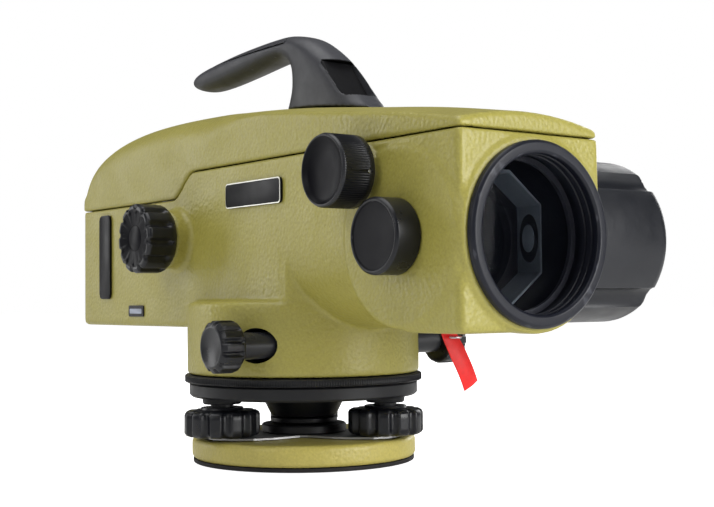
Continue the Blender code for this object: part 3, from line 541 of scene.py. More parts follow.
def crown_z(y):
    points = list(CROWN)
    index = max(i for i, p in enumerate(points[:-1]) if y >= p[0] - 1e-6)
    p1, p2 = points[index], points[index + 1]
    p0 = points[index - 1] if index else p1
    p3 = points[index + 2] if index + 2 < len(points) else p2
    width = p2[0] - p1[0]
    t = (y - p1[0]) / width
    slope1 = (p2[1] - p0[1]) / (p2[0] - p0[0]) * width
    slope2 = (p3[1] - p1[1]) / (p3[0] - p1[0]) * width
    return (
        p1[1] * (1 + 2 * t) * (1 - t) ** 2
        + slope1 * t * (1 - t) ** 2
        + p2[1] * t * t * (3 - 2 * t)
        - slope2 * t * t * (1 - t)
    )


def seam_line(lift):
    low, high = SEAM_STEP_Y
    inner = [low + (high - low) * i / 16 for i in range(17)]
    return [(y, seam_z(y) + lift) for y in [-170.0] + inner + [180.0]]


def housing():
    """The housing: a hollow casting with the drum, the neck and the bosses."""
    above_seam = 140.0
    sides = [(REAR_Y, FLOOR_Z), (REAR_Y, above_seam), (NECK_Y, above_seam), (NECK_Y, FLOOR_Z)]
    rear = prism(sides, "X", -HALF, HALF)
    rear_corner = block((-HALF, HALF), (NECK_Y, REAR_Y), (FLOOR_Z, above_seam), 2.2)
    rear = combine(rear, [rear_corner], "INTERSECT")
    outline = [(above_seam, -HALF), (above_seam, HALF)] + arc(OPTICAL_Z, 0, HALF, 90, 270, 64)
    bow = prism(outline, "Y", FRONT_Y, NECK_Y + 8, 2.6, 5)
    front = block((-HALF, 0.7), (FRONT_Y, PIVOT_Y), (FLOOR_Z, OPTICAL_Z + 20), 2.6, 5)
    drum_profile = rounded([(0, 39), (DRUM_R, 39), (DRUM_R, 71), (0, 71)], [0, 1.2, 3.2, 0], 6)
    drum = turned(drum_profile, angles=192)
    pivot = (0, PIVOT_Y, OPTICAL_Z)
    near_boss = disc(PIVOT_BOSS_R[0], -PIVOT_BOSS_X, -2)
    near_boss = turned(rounded(near_boss, [0, 1.6, 0, 0]), "X", pivot, 160)
    far_boss = disc(PIVOT_BOSS_R[1], -1, PIVOT_BOSS_X)
    far_boss = turned(rounded(far_boss, [0, 0, 1.6, 0]), "X", pivot, 160)
    front_boss = disc(FRONT_BOSS_R, FRONT_BOSS_Y, -140)
    ring = turned(rounded(front_boss, [0, 1.0, 0, 0]), "Y", (0, 0, OPTICAL_Z), 160)
    neck_r, neck_half = DRUM_R - 0.2, HALF - 0.3
    corner = math.degrees(math.asin(neck_half / neck_r))
    outline = arc(0, 0, neck_r, -90 - corner, -90 + corner, 32) + [(neck_half, -30), (-neck_half, -30)]
    neck = prism(outline, "Z", 60, OPTICAL_Z - 1)
    focus = disc(FOCUS_BOSS_R, FOCUS_BOSS_X, -30)
    focus = turned(rounded(focus, [0, 0.9, 0, 0]), "X", (0, FOCUS_Y, FOCUS_Z), 96)
    foot = [(0, -36.4), (14.0, -36.4), (15.6, -34.6), (15.6, -30), (0, -30)]
    foot = turned(foot, "X", (0, FOCUS_Y, FOCUS_Z), 96)
    micro = disc(MICRO_BOSS_R, MICRO_BOSS_X, -30)
    micro = turned(rounded(micro, [0, 0.6, 0, 0]), "X", (0, MICRO_Y, MICRO_Z), 96)
    body = join(rear, bow, front, drum, near_boss, far_boss, ring, neck, focus, foot, micro)

    inner = HALF - WALL
    first = FRONT_Y + WALL + 1
    hollow = [(first, OPTICAL_Z + 1), (NECK_Y + WALL, OPTICAL_Z + 1), (NECK_Y + WALL, FLOOR_Z + WALL)]
    hollow += [(REAR_Y - WALL, FLOOR_Z + WALL), (REAR_Y - WALL, 150), (first, 150)]
    cuts = [
        prism(hollow, "X", -inner, inner),
        rod("Y", (0, 0, OPTICAL_Z), inner - 0.2, first, NECK_Y + 5, 128),
        rod("Z", (0, 0, 0), DRUM_R - WALL, 30, 58.0, 128),
    ]
    seam = seam_line(-SEAM_GAP / 2)
    cuts.append(prism(seam + [(180, 220), (-170, 220)], "X", -60, 60))
    combine(body, cuts, "DIFFERENCE")
    cast(body, HOUSING_VOXEL, 5)
    bores = [
        rod("Y", (0, 0, OPTICAL_Z), FRONT_BORE_R, -155, -138, 128),
        rod("X", (0, TANGENT_Y, TANGENT_Z), TANGENT_BORE_R, -60, 60, 64),
        rod("X", (0, PIVOT_Y, OPTICAL_Z), 6.2, -45, 45),
        rod("X", (0, MICRO_Y, MICRO_Z), 4.2, -50, -20),
        rod("X", (0, FOCUS_Y, FOCUS_Z), 4.2, -50, -20),
        rod("Y", (0, 0, OPTICAL_Z), 12.8, 140, 170),
    ]
    cut(body, *bores, sharp=50)
    piece("housing_casting", body, "olive", "alidade", ["main_housing"])
    second_finish(body, "lining", hidden_inside)


def hidden_inside(c):
    """The hollow of the housing, which is painted matt black."""
    if c.z < 58.4 and c.x * c.x + c.y * c.y < (DRUM_R - 1.2) ** 2:
        return True
    if math.hypot(c.y - TANGENT_Y, c.z - TANGENT_Z) < 7.42:
        return True
    if c.y < NECK_Y and math.hypot(c.x, c.z - OPTICAL_Z) < 32.4 and c.y > -147.6:
        return True
    return abs(c.x) < HALF - 1.4 and FRONT_Y + 2 < c.y < REAR_Y - 1.4 and c.z > FLOOR_Z + 1.4 and (
        c.z > OPTICAL_Z or c.y > NECK_Y + 1.4
    )


def cover_section(y, inset, steps=10):
    rear = min(1.0, max(0.0, (y + 20) / 60))
    radius = SHOULDER_R[0] + (SHOULDER_R[1] - SHOULDER_R[0]) * rear * rear * (3 - 2 * rear)
    top = crown_z(min(max(y, CROWN[0][0]), CROWN[-1][0]))
    foot = seam_z(y) + SEAM_GAP / 2
    radius = min(radius, top - CROWN_DROP - foot - 0.5)
    flat = HALF - radius
    shoulder = top - CROWN_DROP * (flat / HALF) ** 2 - radius
    bend = max(radius - inset, 0.8)
    wide = HALF - inset
    if inset:
        shoulder += radius - inset - bend
        flat = wide - bend
    points = [(wide, foot)] + arc(flat, shoulder, bend, 0, 90, steps)
    edge, peak = shoulder + bend, top - inset
    points += [(flat * (1 - i / 8), peak - (peak - edge) * (1 - i / 8) ** 2) for i in range(1, 9)]
    return points


def cover():
    """The top cover, a shell with a wide rounded shoulder that grows towards the rear."""
    stations = [FRONT_Y + 4 * i for i in range(1, 46)]
    stations = [y for y in stations if y < SEAM_STEP_Y[0] - 1]
    low, high = SEAM_STEP_Y
    stations += [low + (high - low) * i / 12 for i in range(13)]
    y = high + 4
    while y < 140:
        stations.append(y)
        y += 4
    stations += [140, 143, 146, 149, 151.5, 153.5, 155, REAR_Y]
    bm = bmesh.new()
    shells = []
    for inset in (0, WALL):
        rings = []
        rows = [(FRONT_Y, 0)] + [(y, 0) for y in stations]
        if not inset:
            lead = 2.6
            turns = (0, 0.4, 0.8, 1.2, 1.57)
            rows = [(FRONT_Y + lead * (1 - math.cos(a)), lead * (1 - math.sin(a))) for a in turns]
            rows += [(y, 0) for y in stations]
        for y, more in rows:
            ahead, behind = max(0, -100 - y) / (-100 - FRONT_Y), max(0, y - 100) / (REAR_Y - 100)
            half = cover_section(y, inset + more)
            section = half + [(-x, z) for x, z in half[-2::-1]]
            place = y + inset * (ahead - behind)
            rings.append([bm.verts.new((x, place, z)) for x, z in section])
        for first, second in zip(rings, rings[1:]):
            for i in range(len(first) - 1):
                bm.faces.new([first[i], first[i + 1], second[i + 1], second[i]])
        bm.faces.new(rings[0])
        bm.faces.new(rings[-1])
        shells.append(rings)
    outer, inner = shells
    rim_outer = [r[0] for r in outer] + [r[-1] for r in outer[::-1]]
    rim_inner = [r[0] for r in inner] + [r[-1] for r in inner[::-1]]
    loops = []
    for rim in (rim_outer, rim_inner):
        ends = zip(rim, rim[1:] + rim[:1])
        loops.append([bm.edges.get((a, b)) or bm.edges.new((a, b)) for a, b in ends])
    bmesh.ops.bridge_loops(bm, edges=loops[0] + loops[1])
    shell = shape(bm)
    cast(shell, COVER_VOXEL, 4)
    piece("cover_casting", shell, "olive", "alidade", ["top_cover"])
    second_finish(shell, "lining", inside_cover)


def inside_cover(c):
    """The cover's inner side, which is painted matt black."""
    if abs(c.x) >= HALF - 1.6 or not FRONT_Y + 1.6 < c.y < REAR_Y - 3.2:
        return False
    return c.z < crown_z(c.y) - 1.6 - (c.x / HALF) ** 4 * 12


def handle_solid():
    bm = bmesh.new()
    rings = []
    corners = 72
    for y0, z0, y1, z1, half, square in smooth_rows(HANDLE_SECTIONS, 8):
        ring = []
        for k in range(corners):
            a = TAU * k / corners
            along = math.copysign(abs(math.cos(a)) ** (2 / square), math.cos(a))
            across = math.copysign(abs(math.sin(a)) ** (2 / square), math.sin(a))
            y = (y0 + y1) / 2 + (y0 - y1) / 2 * along
            z = (z0 + z1) / 2 + (z0 - z1) / 2 * along
            ring.append(bm.verts.new((half * across, y, z)))
        rings.append(ring)
    for first, second in zip(rings, rings[1:]):
        for i in range(corners):
            j = (i + 1) % corners
            bm.faces.new([first[i], first[j], second[j], second[i]])
    bm.faces.new(rings[0])
    bm.faces.new(rings[-1])
    solid = shape(bm)
    stations = (20, 12, 5, -4, -12, -20, -30, -38, -46, -54, -66)
    under = [(y, crown_z(y) + 0.35) for y in stations] + [(-66, 140), (20, 140)]
    return combine(solid, [prism(under, "X", -20, 20)], "DIFFERENCE")


def handle():
    """The carrying handle with its sight opening and the cap let into the top of the grip."""
    cap_z = HANDLE_CAP_Z
    cap = combine(handle_solid(), [block((-20, 20), (0, 70), (cap_z, 200))], "INTERSECT")
    cap = join(cap, block((-4.5, 4.5), (4, 58), (cap_z - 1.2, cap_z + 0.5)))
    clearance = block((-20, 20), (-0.45, 70.45), (cap_z - 0.4, 200))
    sight = block((-9, 7), (-60, -24), (158.2, 175.4), 1.6, 3)
    well = rod("Z", (0, -12, 0), 3.6, 140, 171)
    body = combine(handle_solid(), [clearance, sight, well], "DIFFERENCE")
    cast(body, HANDLE_VOXEL, 3)
    piece("handle_body", body, "handle", "alidade", ["carry_handle"])
    cap.data.shade_smooth()
    cap.data.set_sharp_from_angle(angle=math.radians(30))
    piece("handle_top_cap", cap, "handle", "alidade", ["handle_cap"])

    def in_sight(c):
        return -8.6 < c.x < 6.6 and -60 < c.y < -23.9 and 157.8 < c.z < 175.8

    second_finish(body, "lining", in_sight)
    outline = [(-24.4, 158.6), (-24.4, 175.0), (-28.5, 175.0), (-41.5, 158.6)]
    insert = prism(rounded(outline, [0, 0, 0.6, 0.6]), "X", -8.6, 6.6, 0.2, 2)
    piece("sight_block", insert, "lining", "alidade", ["sight_window"])


def housing_fittings():
    side = -HALF
    outline = rectangle(-36.8, 111.7, 7.5, 122.6)
    plate = prism(rounded(outline, 2.2, 6), "X", side - 1.1, side - 0.1, 0.25, 2)
    piece("name_plate", plate, "plate", "alidade", ["nameplate"])
    border = [(y + 0.35 * (1 if y < 0 else -1), z) for y, z in outline]
    border = prism(rounded(border, 2.0, 6), "X", side - 1.3, side - 0.9)
    inner = rectangle(-36.05, 112.15, 7.1, 122.15)
    cut(border, prism(rounded(inner, 1.6, 6), "X", side - 2, side))
    piece("name_plate_border", border, "border", "alidade", ())

    outline = rectangle(122.6, 72.6, 134.5, 115.7)
    strip = prism(rounded(outline, 2.4, 6), "X", side - 1.4, side - 0.1, 0.5, 3)
    piece("side_strip_cover", strip, "plate", "alidade", ["side_strip"])
    label = rounded(rectangle(86.9, 63.7, 102.5, 69.2), 0.8)
    label = prism(label, "X", side - 0.7, side - 0.1, 0.1, 1)
    piece("small_label", label, "plate", "alidade", ["type_label"])
    bar = prism(rounded(rectangle(88.4, 65.2, 101.0, 67.6), 0.5), "X", side - 0.85, side - 0.6)
    piece("small_label_bar", bar, "grey_bar", "alidade", ())


def bezel():
    axis_line = (0, 0, OPTICAL_Z)
    bore, outer, front = 29.0, 34.0, -152.3
    profile = [(bore + 0.4, -142.0), (bore + 0.4, -143.2), (bore, -143.4), (bore, -145.0)]
    profile += [(bore + 0.5, -145.3), (bore + 0.5, -145.9), (bore, -146.2), (bore, -148.2)]
    profile += [(bore + 0.5, -148.5), (bore + 0.5, -149.1), (bore, -149.4), (bore, front + 0.9)]
    profile += [(bore + 0.9, front), (outer - 1.1, front), (outer, front + 1.1)]
    profile += [(outer, -149.3), (31.0, -149.2), (31.0, -137.0), (30.2, -137.0), (30.2, -142.0)]
    sizes = [0] * 11 + [0.4, 0.4, 0.5, 0.5] + [0] * 5
    ring = turned(rounded(profile, sizes, 4), "Y", axis_line, 192)
    piece("objective_bezel", ring, "bezel", "alidade", ["front_bezel"])
    window = rounded(disc(29.9, -141.7, -139.7), [0, 0.2, 0.2, 0])
    window = turned(window, "Y", axis_line, 160)
    piece("objective_window", window, "window", "alidade", ["front_window"])
    retainer = [(27.6, -139.4), (29.9, -139.4), (29.9, -137.4), (27.9, -137.4)]
    retainer = turned(retainer, "Y", axis_line, 128)
    piece("window_retainer", retainer, "bezel", "alidade", ["window_ring"])


def octagon(wide, flat, tall):
    outline = [(flat, wide), (tall, flat * 0.78), (tall, -flat * 0.78), (flat, -wide)]
    outline += [(-u, -v) for u, v in outline]
    return [(u + OPTICAL_Z, v) for u, v in outline]


def tilting_plate():
    """The octagonal frame that carries the tilting plate, with its trunnions."""
    frame_body = prism(octagon(27.0, 13.4, 26.0), "Y", *TILT_FRAME_Y, 0.5, 2)
    opening = prism(octagon(25.9, 13.0, 24.7), "Y", -130.0, -112.0)
    rear_bore = rod("Y", (0, 0, OPTICAL_Z), 22.6, -115, -100, 96)
    combine(frame_body, [opening, rear_bore], "DIFFERENCE")
    near = rod("X", (0, PIVOT_Y, OPTICAL_Z), 5.0, -44.5, -26.2)
    far = rod("X", (0, PIVOT_Y, OPTICAL_Z), 5.0, 26.2, 54.3)
    join(frame_body, near, far)
    frame_body.data.set_sharp_from_angle(angle=math.radians(30))
    piece("tilting_frame", frame_body, "frame_shaded_aluminium", "plate", ["plate_frame"])
    second_finish(frame_body, "lining", lambda c: c.y > -112.6 or abs(c.x) > 27.1)
    for name, side in (("far", 1), ("near", -1)):
        # a thin matt black oval round the pivot boss: painted shade of the pivot hole
        painted_recess_shade = boss_ring(9.5, 5.0, side * 25.95, side * 25.65)
        piece(f"frame_pivot_painted_shade_{name}", painted_recess_shade, "lining", "plate", ())
        boss = boss_ring(5.4, 3.1, side * 25.9, side * 25.2)
        piece(f"frame_pivot_boss_{name}", boss, "frame_shaded_aluminium", "plate", ())


def boss_ring(tall, deep, x0, x1):
    """An oval plate in the frame's side wall."""
    outline = []
    for i in range(48):
        a = TAU * i / 48
        outline.append((-118.6 + deep * math.cos(a), OPTICAL_Z + 0.4 + tall * math.sin(a)))
    return prism(outline, "X", min(x0, x1), max(x0, x1), 0.12, 2)


def drum_knob():
    """The micrometer drum: four deep grooves and a rounded end."""
    r, inner, outer = 33.0, 37.3, 78.0
    groove_r, out = 6.0, 2.4
    d = r + out
    edge = math.acos((d * d + r * r - groove_r * groove_r) / (2 * d * r))
    centres = [math.radians(a) for a in (45, 135, 225, 315)]
    angles = {round(TAU * i / 240, 6) for i in range(240)}
    near_edge = [side * edge * f for side in (-1, 1) for f in (0.9, 0.97, 1.0, 1.04)]
    angles |= {round((c + off) % TAU, 6) for c in centres for off in near_edge}

    def radial(angle, radius, place):
        if radius < r - 12:
            return radius
        for centre in centres:
            off = (angle - centre + math.pi) % TAU - math.pi
            across = d * math.sin(off)
            if abs(off) < math.pi / 2 and abs(across) < groove_r:
                radius = min(radius, d * math.cos(off) - math.sqrt(groove_r**2 - across**2))
        return radius

    shoulder = arc(outer - 6, r - 6, 6, 0, 90, 8)
    profile = [(0, outer)] + [(v, u) for u, v in shoulder]
    profile += [(r, inner + 1.2), (r - 1.2, inner), (r - 4.0, inner), (r - 4.0 - 4.5, outer - 9)]
    profile += [(10, outer - 9), (10, inner), (5.3, inner), (5.3, inner + 18), (0, inner + 18)]
    drum = turned(profile, "X", (0, PIVOT_Y, OPTICAL_Z), sorted(angles), radial)
    drum.data.set_sharp_from_angle(angle=math.radians(38))
    piece("micrometer_drum_knob", drum, "drum", "plate", ["micrometer_drum"])


def shaded_knob_end(depth, y, z, reach):
    """Chooses the faces of a knob's recessed end on the near side, which get a darker, duller black as
    painted shade of the recess.
    """
    return lambda c: c.x < depth and math.hypot(c.y - y, c.z - z) < reach


def pivot_knob():
    near, far, r = -36.3, -47.5, 14.2
    profile = [(5.3, near), (r - 0.4, near), (r, near - 0.5), (r, far + 0.9), (r - 0.9, far)]
    profile += [(r - 1.5, far)]
    profile += [(r - 2.0, far + 0.5), (0, far + 0.35), (0, far + 2.6), (5.3, far + 2.6)]
    sizes = [0, 0, 0.2, 0.25, 0.25, 0.2, 0.3, 0, 0, 0]
    knob = turned(rounded(profile, sizes, 3), "X", (0, PIVOT_Y, OPTICAL_Z), 128)
    piece("pivot_knob", knob, "knob", "plate", ["pivot_cap"])
    second_finish(knob, "face", shaded_knob_end(far + 0.7, PIVOT_Y, OPTICAL_Z, r - 1.7))


def micrometer_knob():
    low, high, r = 38.8, 53.8, 14.0
    centre = (0, MICRO_Y, MICRO_Z)
    teeth = 90
    profile = [(3.8, -low), (r - 0.7, -low), (r, -low - 0.7), (r, -low - 3.0), (r, -low - 3.3)]
    profile += [(r, -high + 1.6), (r, -high + 1.2), (r - 0.5, -high + 0.2)]
    profile += [(r - 0.9, -high), (r - 1.3, -high + 0.15)]
    profile += [(r - 1.9, -high + 0.9), (r - 3.6, -high + 1.7), (5, -high + 2.2), (0, -high + 2.3)]
    profile += [(0, -low - 11.2), (3.8, -low - 11.2)]

    def radial(angle, radius, place):
        if radius < r - 0.01 or not -high + 1.5 < place < -low - 3.2:
            return radius
        return radius - 0.34 * abs(2 * ((angle * teeth / TAU) % 1.0) - 1)

    knob = turned(profile, "X", centre, teeth * 4, radial)
    hole = rod("Y", (-low - 2.6, 0, MICRO_Z - 0.9), 0.95, MICRO_Y - r - 1, MICRO_Y - r + 2.2, 24)
    combine(knob, [hole], "DIFFERENCE")
    knob.data.set_sharp_from_angle(angle=math.radians(50))
    piece("fine_knob", knob, "knob", "micrometer", ["micrometer_knob"])
    second_finish(knob, "face", shaded_knob_end(-high + 2.6, MICRO_Y, MICRO_Z, r - 1.6))
    screw = [(0, -r + 1.3), (0.3, -r + 0.75), (0.85, -r + 0.75), (0.85, -r + 2.0), (0, -r + 2.0)]
    screw = turned(screw, "Y", (-low - 2.6, MICRO_Y, MICRO_Z - 0.9), 24)
    piece("fine_knob_set_screw", screw, "steel", "micrometer", ())


def focus_knob():
    low, high, r = 43.4, 58.3, 16.0
    profile = [(3.8, -low), (r - 1.6, -low), (r - 0.5, -low - 1.4)]
    profile += [(r, -low - 3.0 - i * 0.9) for i in range(12)]
    profile += [(r, -high + 1.4), (r - 0.5, -high + 0.5), (r - 1.4, -high), (r - 2.6, -high)]
    profile += [(r - 3.6, -high + 0.6), (6.4, -high + 0.75), (6.0, -high + 1.05)]
    profile += [(5.6, -high + 0.75), (0, -high + 0.7)]
    profile += [(0, -low - 9), (3.8, -low - 9)]

    def fade(place):
        return math.sqrt(step(-place, low + 2.4, low + 4.6))

    radial = grooves(12, 1.55, 0.46, 11.0, fade, 0.25)
    knob = turned(profile, "X", (0, FOCUS_Y, FOCUS_Z), 288, radial)
    knob.data.set_sharp_from_angle(angle=math.radians(40))
    piece("focusing_knob", knob, "knob", "focus_knob", ["focus_knob"])
    second_finish(knob, "face", shaded_knob_end(-high + 1.2, FOCUS_Y, FOCUS_Z, r - 2.4))


def tangent_knobs():
    knob_in, knob_out, r = 53.8, 65.0, 10.8

    def fade(place):
        return step(abs(place), knob_in + 0.8, knob_in + 2.6)

    radial = grooves(12, 1.3, 0.46, 9.6, fade)
    for name, side in (("left", -1), ("right", 1)):
        profile = [(3.7, knob_in), (7.6, knob_in), (r - 1.3, knob_in + 0.3), (r - 0.3, knob_in + 1.2)]
        profile += [(r, knob_in + 2.2 + i) for i in range(6)]
        profile += [(r - 0.1, knob_out - 1.6), (r - 1.0, knob_out - 0.8), (r - 1.9, knob_out - 0.3)]
        profile += [(r - 2.5, knob_out), (r - 3.2, knob_out), (r - 3.8, knob_out - 0.3)]
        profile += [(0, knob_out - 0.25)]
        profile += [(0, knob_out - 3.5), (3.7, knob_out - 3.5)]
        profile = [(radius, side * x) for radius, x in profile]
        knob = turned(profile, "X", (0, TANGENT_Y, TANGENT_Z), 240, radial)
        knob.data.set_sharp_from_angle(angle=math.radians(40))
        nodes = [f"tangent_knob_{name}"]
        piece(f"slow_motion_knob_{name}", knob, "knob", "tangent", nodes)
        sleeve = [(3.55, 37.0), (5.6, 37.0), (5.6, 52.6), (5.0, 53.4), (3.55, 53.4)]
        tube = turned([(radius, side * x) for radius, x in sleeve], "X", (0, TANGENT_Y, TANGENT_Z), 64)
        piece(f"slow_motion_sleeve_{name}", tube, "knob", "tangent", ())


def footscrew_knobs():
    low, high, r = 12.8, 23.9, 16.4
    for i, angle in enumerate(SCREW_ANGLES, 1):
        centre = (*polar(SCREW_CIRCLE_R, angle), 0)
        profile = [(5.2, low), (r - 2.2, low), (r - 0.8, low + 0.5), (r, low + 1.6)]
        profile += [(r, low + 3.5), (r, high - 3.5), (r, high - 1.8), (r - 0.5, high - 0.7)]
        profile += [(r - 1.8, high)]
        profile += [(10.4, high + 0.2), (9.4, high + 0.4), (9.0, high + 1.3), (5.2, high + 1.3)]
        knob = turned(profile, "Z", centre, 264, grooves(11, 1.9, 0.52, 10.9))
        knob.data.set_sharp_from_angle(angle=math.radians(40))
        nodes = [f"footscrew_knob_{i}"]
        piece(f"foot_knob_{i}", knob, "knob", f"footscrew_{i}", nodes)


def levelling_head():
    low, high = 29.0, 35.0
    profile = [(0, 19.9), (14.5, 19.9), (15.4, 21.2), (17.0, 24.5), (19.4, low), (50.2, low)]
    profile += [(51.2, low + 1.0), (51.2, high - 0.7), (50.5, high), (37.7, high), (37.7, 37.6)]
    profile += [(13, 37.6), (13, 55), (9, 55)]
    profile += [(9, 21.9), (0, 21.9)]
    body = turned(profile, angles=192)
    lugs = []
    for angle in SCREW_ANGLES:
        place = (*polar(SCREW_CIRCLE_R, angle), 0)
        lug = [(0, 26.6), (7.9, 26.6), (8.3, 27.0), (8.9, low + 3), (0, low + 3)]
        lugs.append(turned(lug, "Z", place, 64))
    holes = [rod("Z", (*polar(SCREW_CIRCLE_R, a), 0), 6.0, 25, high - 0.8) for a in SCREW_ANGLES]
    join(body, *lugs)
    cut(body, *holes, sharp=30)
    piece("tribrach_plate", body, "satin", "head", ["tribrach"])

    collar = turned(rounded([(0, 16.9), (15, 16.9), (15, 19.0), (0, 19.0)], [0, 0.4, 0.4, 0]), angles=128)
    piece("swivel_washer", collar, "satin", "swivel", ["swivel_collar"])
    nut = [(0, 15.3), (9.8, 15.3), (9.8, 12.5), (18.4, 12.5), (19, 13.0), (19, 15.6)]
    nut += [(18.5, 16.1), (0, 16.1)]
    piece("centre_nut_disc", turned(nut, angles=128), "satin", "base", ["centre_nut"])

    teeth = 300

    def radial(angle, radius, place):
        if radius < 53 or not 36.0 < place < 38.0:
            return radius
        return radius - 0.4 * abs(2 * ((angle * teeth / TAU) % 1.0) - 1)

    r = 53.2
    profile = [(38.0, 35.3), (r - 0.6, 35.3), (r, 35.7), (r, 36.1), (r, 37.9), (r, 38.2)]
    profile += [(r - 0.5, 38.6), (38.0, 38.6)]
    ring = turned(profile, angles=teeth * 4, radial=radial)
    ring.data.set_sharp_from_angle(angle=math.radians(50))
    piece("graduated_circle", ring, "satin", "circle", ["circle_ring"])

    profile = [(7.94, 2), (49, 2), (50, 3.2), (50, 11), (9.5, 11), (9.5, 15), (7.94, 15)]
    plate = turned(rounded(profile, [0, 0.4, 0.8, 2.6, 0.4, 0.4, 0], 6), angles=192)
    seats = [rod("Z", (*polar(SCREW_CIRCLE_R, a), 0), 6.2, 3.5, 30) for a in SCREW_ANGLES]
    cut(plate, *seats)
    piece("base_plate_painted", plate, "olive_base", "base", ["base_plate"])
    pad = turned(rounded([(12, 0), (49.5, 0), (49.5, 1.7), (12, 1.7)], [0, 0.5, 0.3, 0]), angles=160)
    piece("base_pad_rubber", pad, "rubber", "base", ["base_pad"])


def eyepiece():
    axis_line = (0, 0, OPTICAL_Z)
    tube = [(9.5, 146), (12.2, 146), (12.2, 157.1), (20, 157.1), (20.4, 157.6), (20.4, 159.2)]
    tube += [(19.6, 160.2), (12.5, 160.2), (12.5, 172.0), (9.5, 172.0)]
    tube = turned(tube, "Y", axis_line, 96)
    piece("eyepiece_mount", tube, "bezel", "alidade", ["eyepiece_tube"])
    low, high, r = 161.5, 178.5, 17.0
    profile = [(12.8, low), (r - 0.8, low), (r, low + 0.8), (r, low + 2.2)]
    profile += [(r, low + 4 + 1.2 * i) for i in range(8)]
    profile += [(r - 0.2, high - 3.4), (r - 2.6, high - 0.5), (r - 3.6, high), (9.8, high)]
    profile += [(9.0, high - 1), (9.0, 173), (12.8, 173)]

    def fade(place):
        return step(place, low + 1.6, low + 4.0) * (1 - step(place, high - 4.4, high - 2.4))

    knob = turned(profile, "Y", axis_line, 240, grooves(24, 0.8, 0.55, 15.0, fade))
    knob.data.set_sharp_from_angle(angle=math.radians(40))
    piece("eyepiece_focus_ring", knob, "knob", "eyepiece", ["eyepiece_ring"])
    lens = [(0, 173.2), (4, 173.3), (8.7, 174.0), (8.7, 176.0), (6, 176.7), (3, 177.1)]
    lens = turned(lens + [(0, 177.2)], "Y", axis_line, 64)
    piece("eyepiece_front_lens", lens, "lens", "eyepiece", ["eyepiece_lens"])


def bullseye():
    x, y = 50.5, 62.0
    cup = turned(rounded([(0, 72), (13, 72), (13, 85), (0, 85)], [0, 1.2, 1.2, 0]), "Z", (x, y, 0), 96)
    arm = block((35.3, x), (y - 8, y + 8), (73.5, 80), 0.8)
    well = rod("Z", (x, y, 0), 10, 77, 90)
    join(cup, arm)
    cut(cup, well)
    piece("bullseye_cup", cup, "satin", "alidade", ["level_housing"])
    vial = [(0, 77.3), (9.7, 77.3), (9.7, 83.6), (9.0, 84.1), (6.5, 84.8), (3, 85.2), (0, 85.3)]
    vial = turned(vial, "Z", (x, y, 0), 96)
    piece("bullseye_vial", vial, "vial", "alidade", ["level_vial"])
    ring = turned([(3.2, 85.1), (3.9, 85.1), (3.9, 85.25), (3.2, 85.3)], "Z", (x, y, 0), 64)
    piece("bullseye_mark", ring, "lining", "alidade", ())


def tag():
    """The red plastic strip under the front, with a slight curl."""
    top, lean = FLOOR_Z - 0.3, math.radians(29)
    down = Vector((math.sin(lean), 0, -math.cos(lean)))
    across = Vector((math.cos(lean), 0, math.sin(lean)))
    start = Vector((-15.7, -118.0, top - 0.5))
    bm = bmesh.new()
    rows = []
    count = 14
    fold = [(Vector((-15.7, -124.6, top - 0.05)), 0.0), (Vector((-15.7, -119.2, top - 0.05)), 0.0)]
    for i in range(count + 1):
        s = i / count
        fold.append((start + down * (22.4 * s) + Vector((0, -1.1 * math.sin(3.1 * s) * s - 0.3, 0)), s))
    for place, s in fold:
        side = Vector((1, 0, 0)).lerp(across, min(1.0, 3 * s)) * 3.7
        cup = Vector((0, 0.5 * s, 0))
        rows.append([bm.verts.new(p) for p in (place - side + cup, place, place + side + cup)])
    for first, second in zip(rows, rows[1:]):
        for i in range(2):
            bm.faces.new([first[i], first[i + 1], second[i + 1], second[i]])
    strip = shape(bm)
    solid = strip.modifiers.new("thick", "SOLIDIFY")
    solid.thickness = 0.6 * MM
    solid.offset = 0
    rim = strip.modifiers.new("rim", "BEVEL")
    rim.width = 0.12 * MM
    rim.segments = 2
    applied(strip)
    piece("tag_strip", strip, "red", "alidade", ["red_tag"])


NODE_FINISH = {
    "handle_screw": "steel",
    "objective_cell": "lining",
    "objective_lens": "lens",
    "parallel_plate": "window",
    "sector_gear": "brass",
    "worm_wheel": "brass",
    "centre_spindle": "steel",
    "tangent_shaft": "steel",
    "micrometer_pinion": "steel",
    "focus_pinion": "steel",
    "focus_cell": "aluminium",
    "focus_lens": "lens",
    "focus_rail": "steel",
    "rail_stand_front": "aluminium",
    "rail_stand_rear": "aluminium",
    "compensator_frame": "aluminium",
    "pendulum": "aluminium",
    "pendulum_prism": "lens",
    "reticle_cell": "aluminium",
    "reticle": "lens",
    "footscrew_1": "satin",
    "footscrew_2": "satin",
    "footscrew_3": "satin",
    "spring_plate": "spring",
    "tag_screw": "steel",
}

for build in (
    housing,
    cover,
    handle,
    housing_fittings,
    bezel,
    tilting_plate,
    drum_knob,
    pivot_knob,
    micrometer_knob,
    focus_knob,
    tangent_knobs,
    footscrew_knobs,
    levelling_head,
    eyepiece,
    bullseye,
    tag,
):
    build()
for name, finish in NODE_FINISH.items():
    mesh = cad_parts[name].data
    mesh.materials.clear()
    mesh.materials.append(M[finish])


# ---------------------------------------------------------------- studio


def area(name, place, target, size, power, colour=(1, 1, 1)):
    light = bpy.data.lights.new(name, "AREA")
    light.shape = "RECTANGLE"
    light.size, light.size_y = size
    light.energy = power
    light.color = colour
    obj = bpy.data.objects.new(name, light)
    bpy.context.scene.collection.objects.link(obj)
    obj.location = place
    aim = Vector(target) - Vector(place)
    obj.rotation_euler = aim.to_track_quat("-Z", "Y").to_euler()


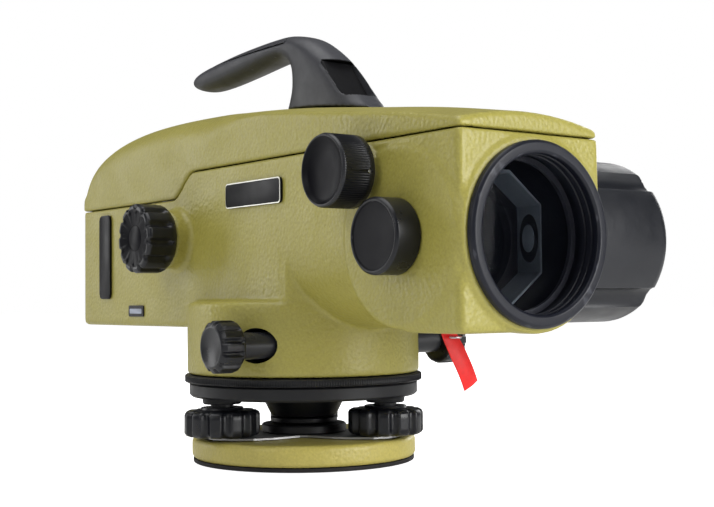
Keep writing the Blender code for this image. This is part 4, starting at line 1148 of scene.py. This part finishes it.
def studio():
    bpy.ops.mesh.primitive_plane_add(size=12, location=(0, 0, -0.0004))
    floor = bpy.context.object
    floor.name = "studio_floor"
    finish = Finish("pale_studio_floor", (0.93, 0.93, 0.93), 0.9)
    finish.tint(3.0, 0.005, 1.0, 0.005)
    finish.bsdf.inputs["Emission Color"].default_value = (1, 1, 1, 1)
    path = finish.node("ShaderNodeLightPath")
    glow = finish.ranged(path.outputs["Is Camera Ray"], 0.0, 0.93, 0.0, 1.0)
    finish.link(glow, finish.bsdf.inputs["Emission Strength"])
    floor.data.materials.append(finish.material)

    middle = (0, 0, 0.1)
    area("top_softbox", (-0.25, 0.05, 1.45), middle, (1.3, 1.3), 15)
    area("front_softbox", (0.55, -1.6, 0.55), middle, (1.1, 1.1), 29)
    area("side_softbox", (-1.5, -0.35, 0.75), middle, (0.9, 0.7), 5)
    area("rear_softbox", (-0.8, 1.3, 0.5), middle, (0.5, 1.0), 5)
    area("far_softbox", (1.5, 0.5, 0.6), middle, (0.8, 0.8), 7)

    world = bpy.data.worlds.new("studio")
    bpy.context.scene.world = world
    world.use_nodes = True
    tree = world.node_tree
    back = tree.nodes["Background"]
    back.inputs["Color"].default_value = (1, 1, 1, 1)
    back.inputs["Strength"].default_value = 0.10
    seen = tree.nodes.new("ShaderNodeBackground")
    seen.inputs["Color"].default_value = (1, 1, 1, 1)
    seen.inputs["Strength"].default_value = 1.0
    mix = tree.nodes.new("ShaderNodeMixShader")
    path = tree.nodes.new("ShaderNodeLightPath")
    tree.links.new(path.outputs["Is Camera Ray"], mix.inputs["Fac"])
    tree.links.new(back.outputs["Background"], mix.inputs[1])
    tree.links.new(seen.outputs["Background"], mix.inputs[2])
    tree.links.new(mix.outputs["Shader"], tree.nodes["World Output"].inputs["Surface"])
    bpy.context.scene.view_settings.view_transform = "Standard"


def camera():
    right = Vector((0.79968, -0.60042, 0))
    ahead = Vector((0.60004, 0.79917, 0.0356)).normalized()
    up = right.cross(ahead)
    roll = math.radians(-0.5)
    across = right * math.cos(roll) + up * math.sin(roll)
    upward = up * math.cos(roll) - right * math.sin(roll)
    data = bpy.data.cameras.new("camera")
    data.lens = 63.63
    data.sensor_width = 36
    data.clip_start = 0.01
    obj = bpy.data.objects.new("camera", data)
    bpy.context.scene.collection.objects.link(obj)
    rotation = Matrix((across, upward, -ahead)).transposed().to_4x4()
    obj.matrix_world = Matrix.Translation((-0.32395, -0.47240, 0.07174)) @ rotation
    bpy.context.scene.camera = obj


studio()
camera()
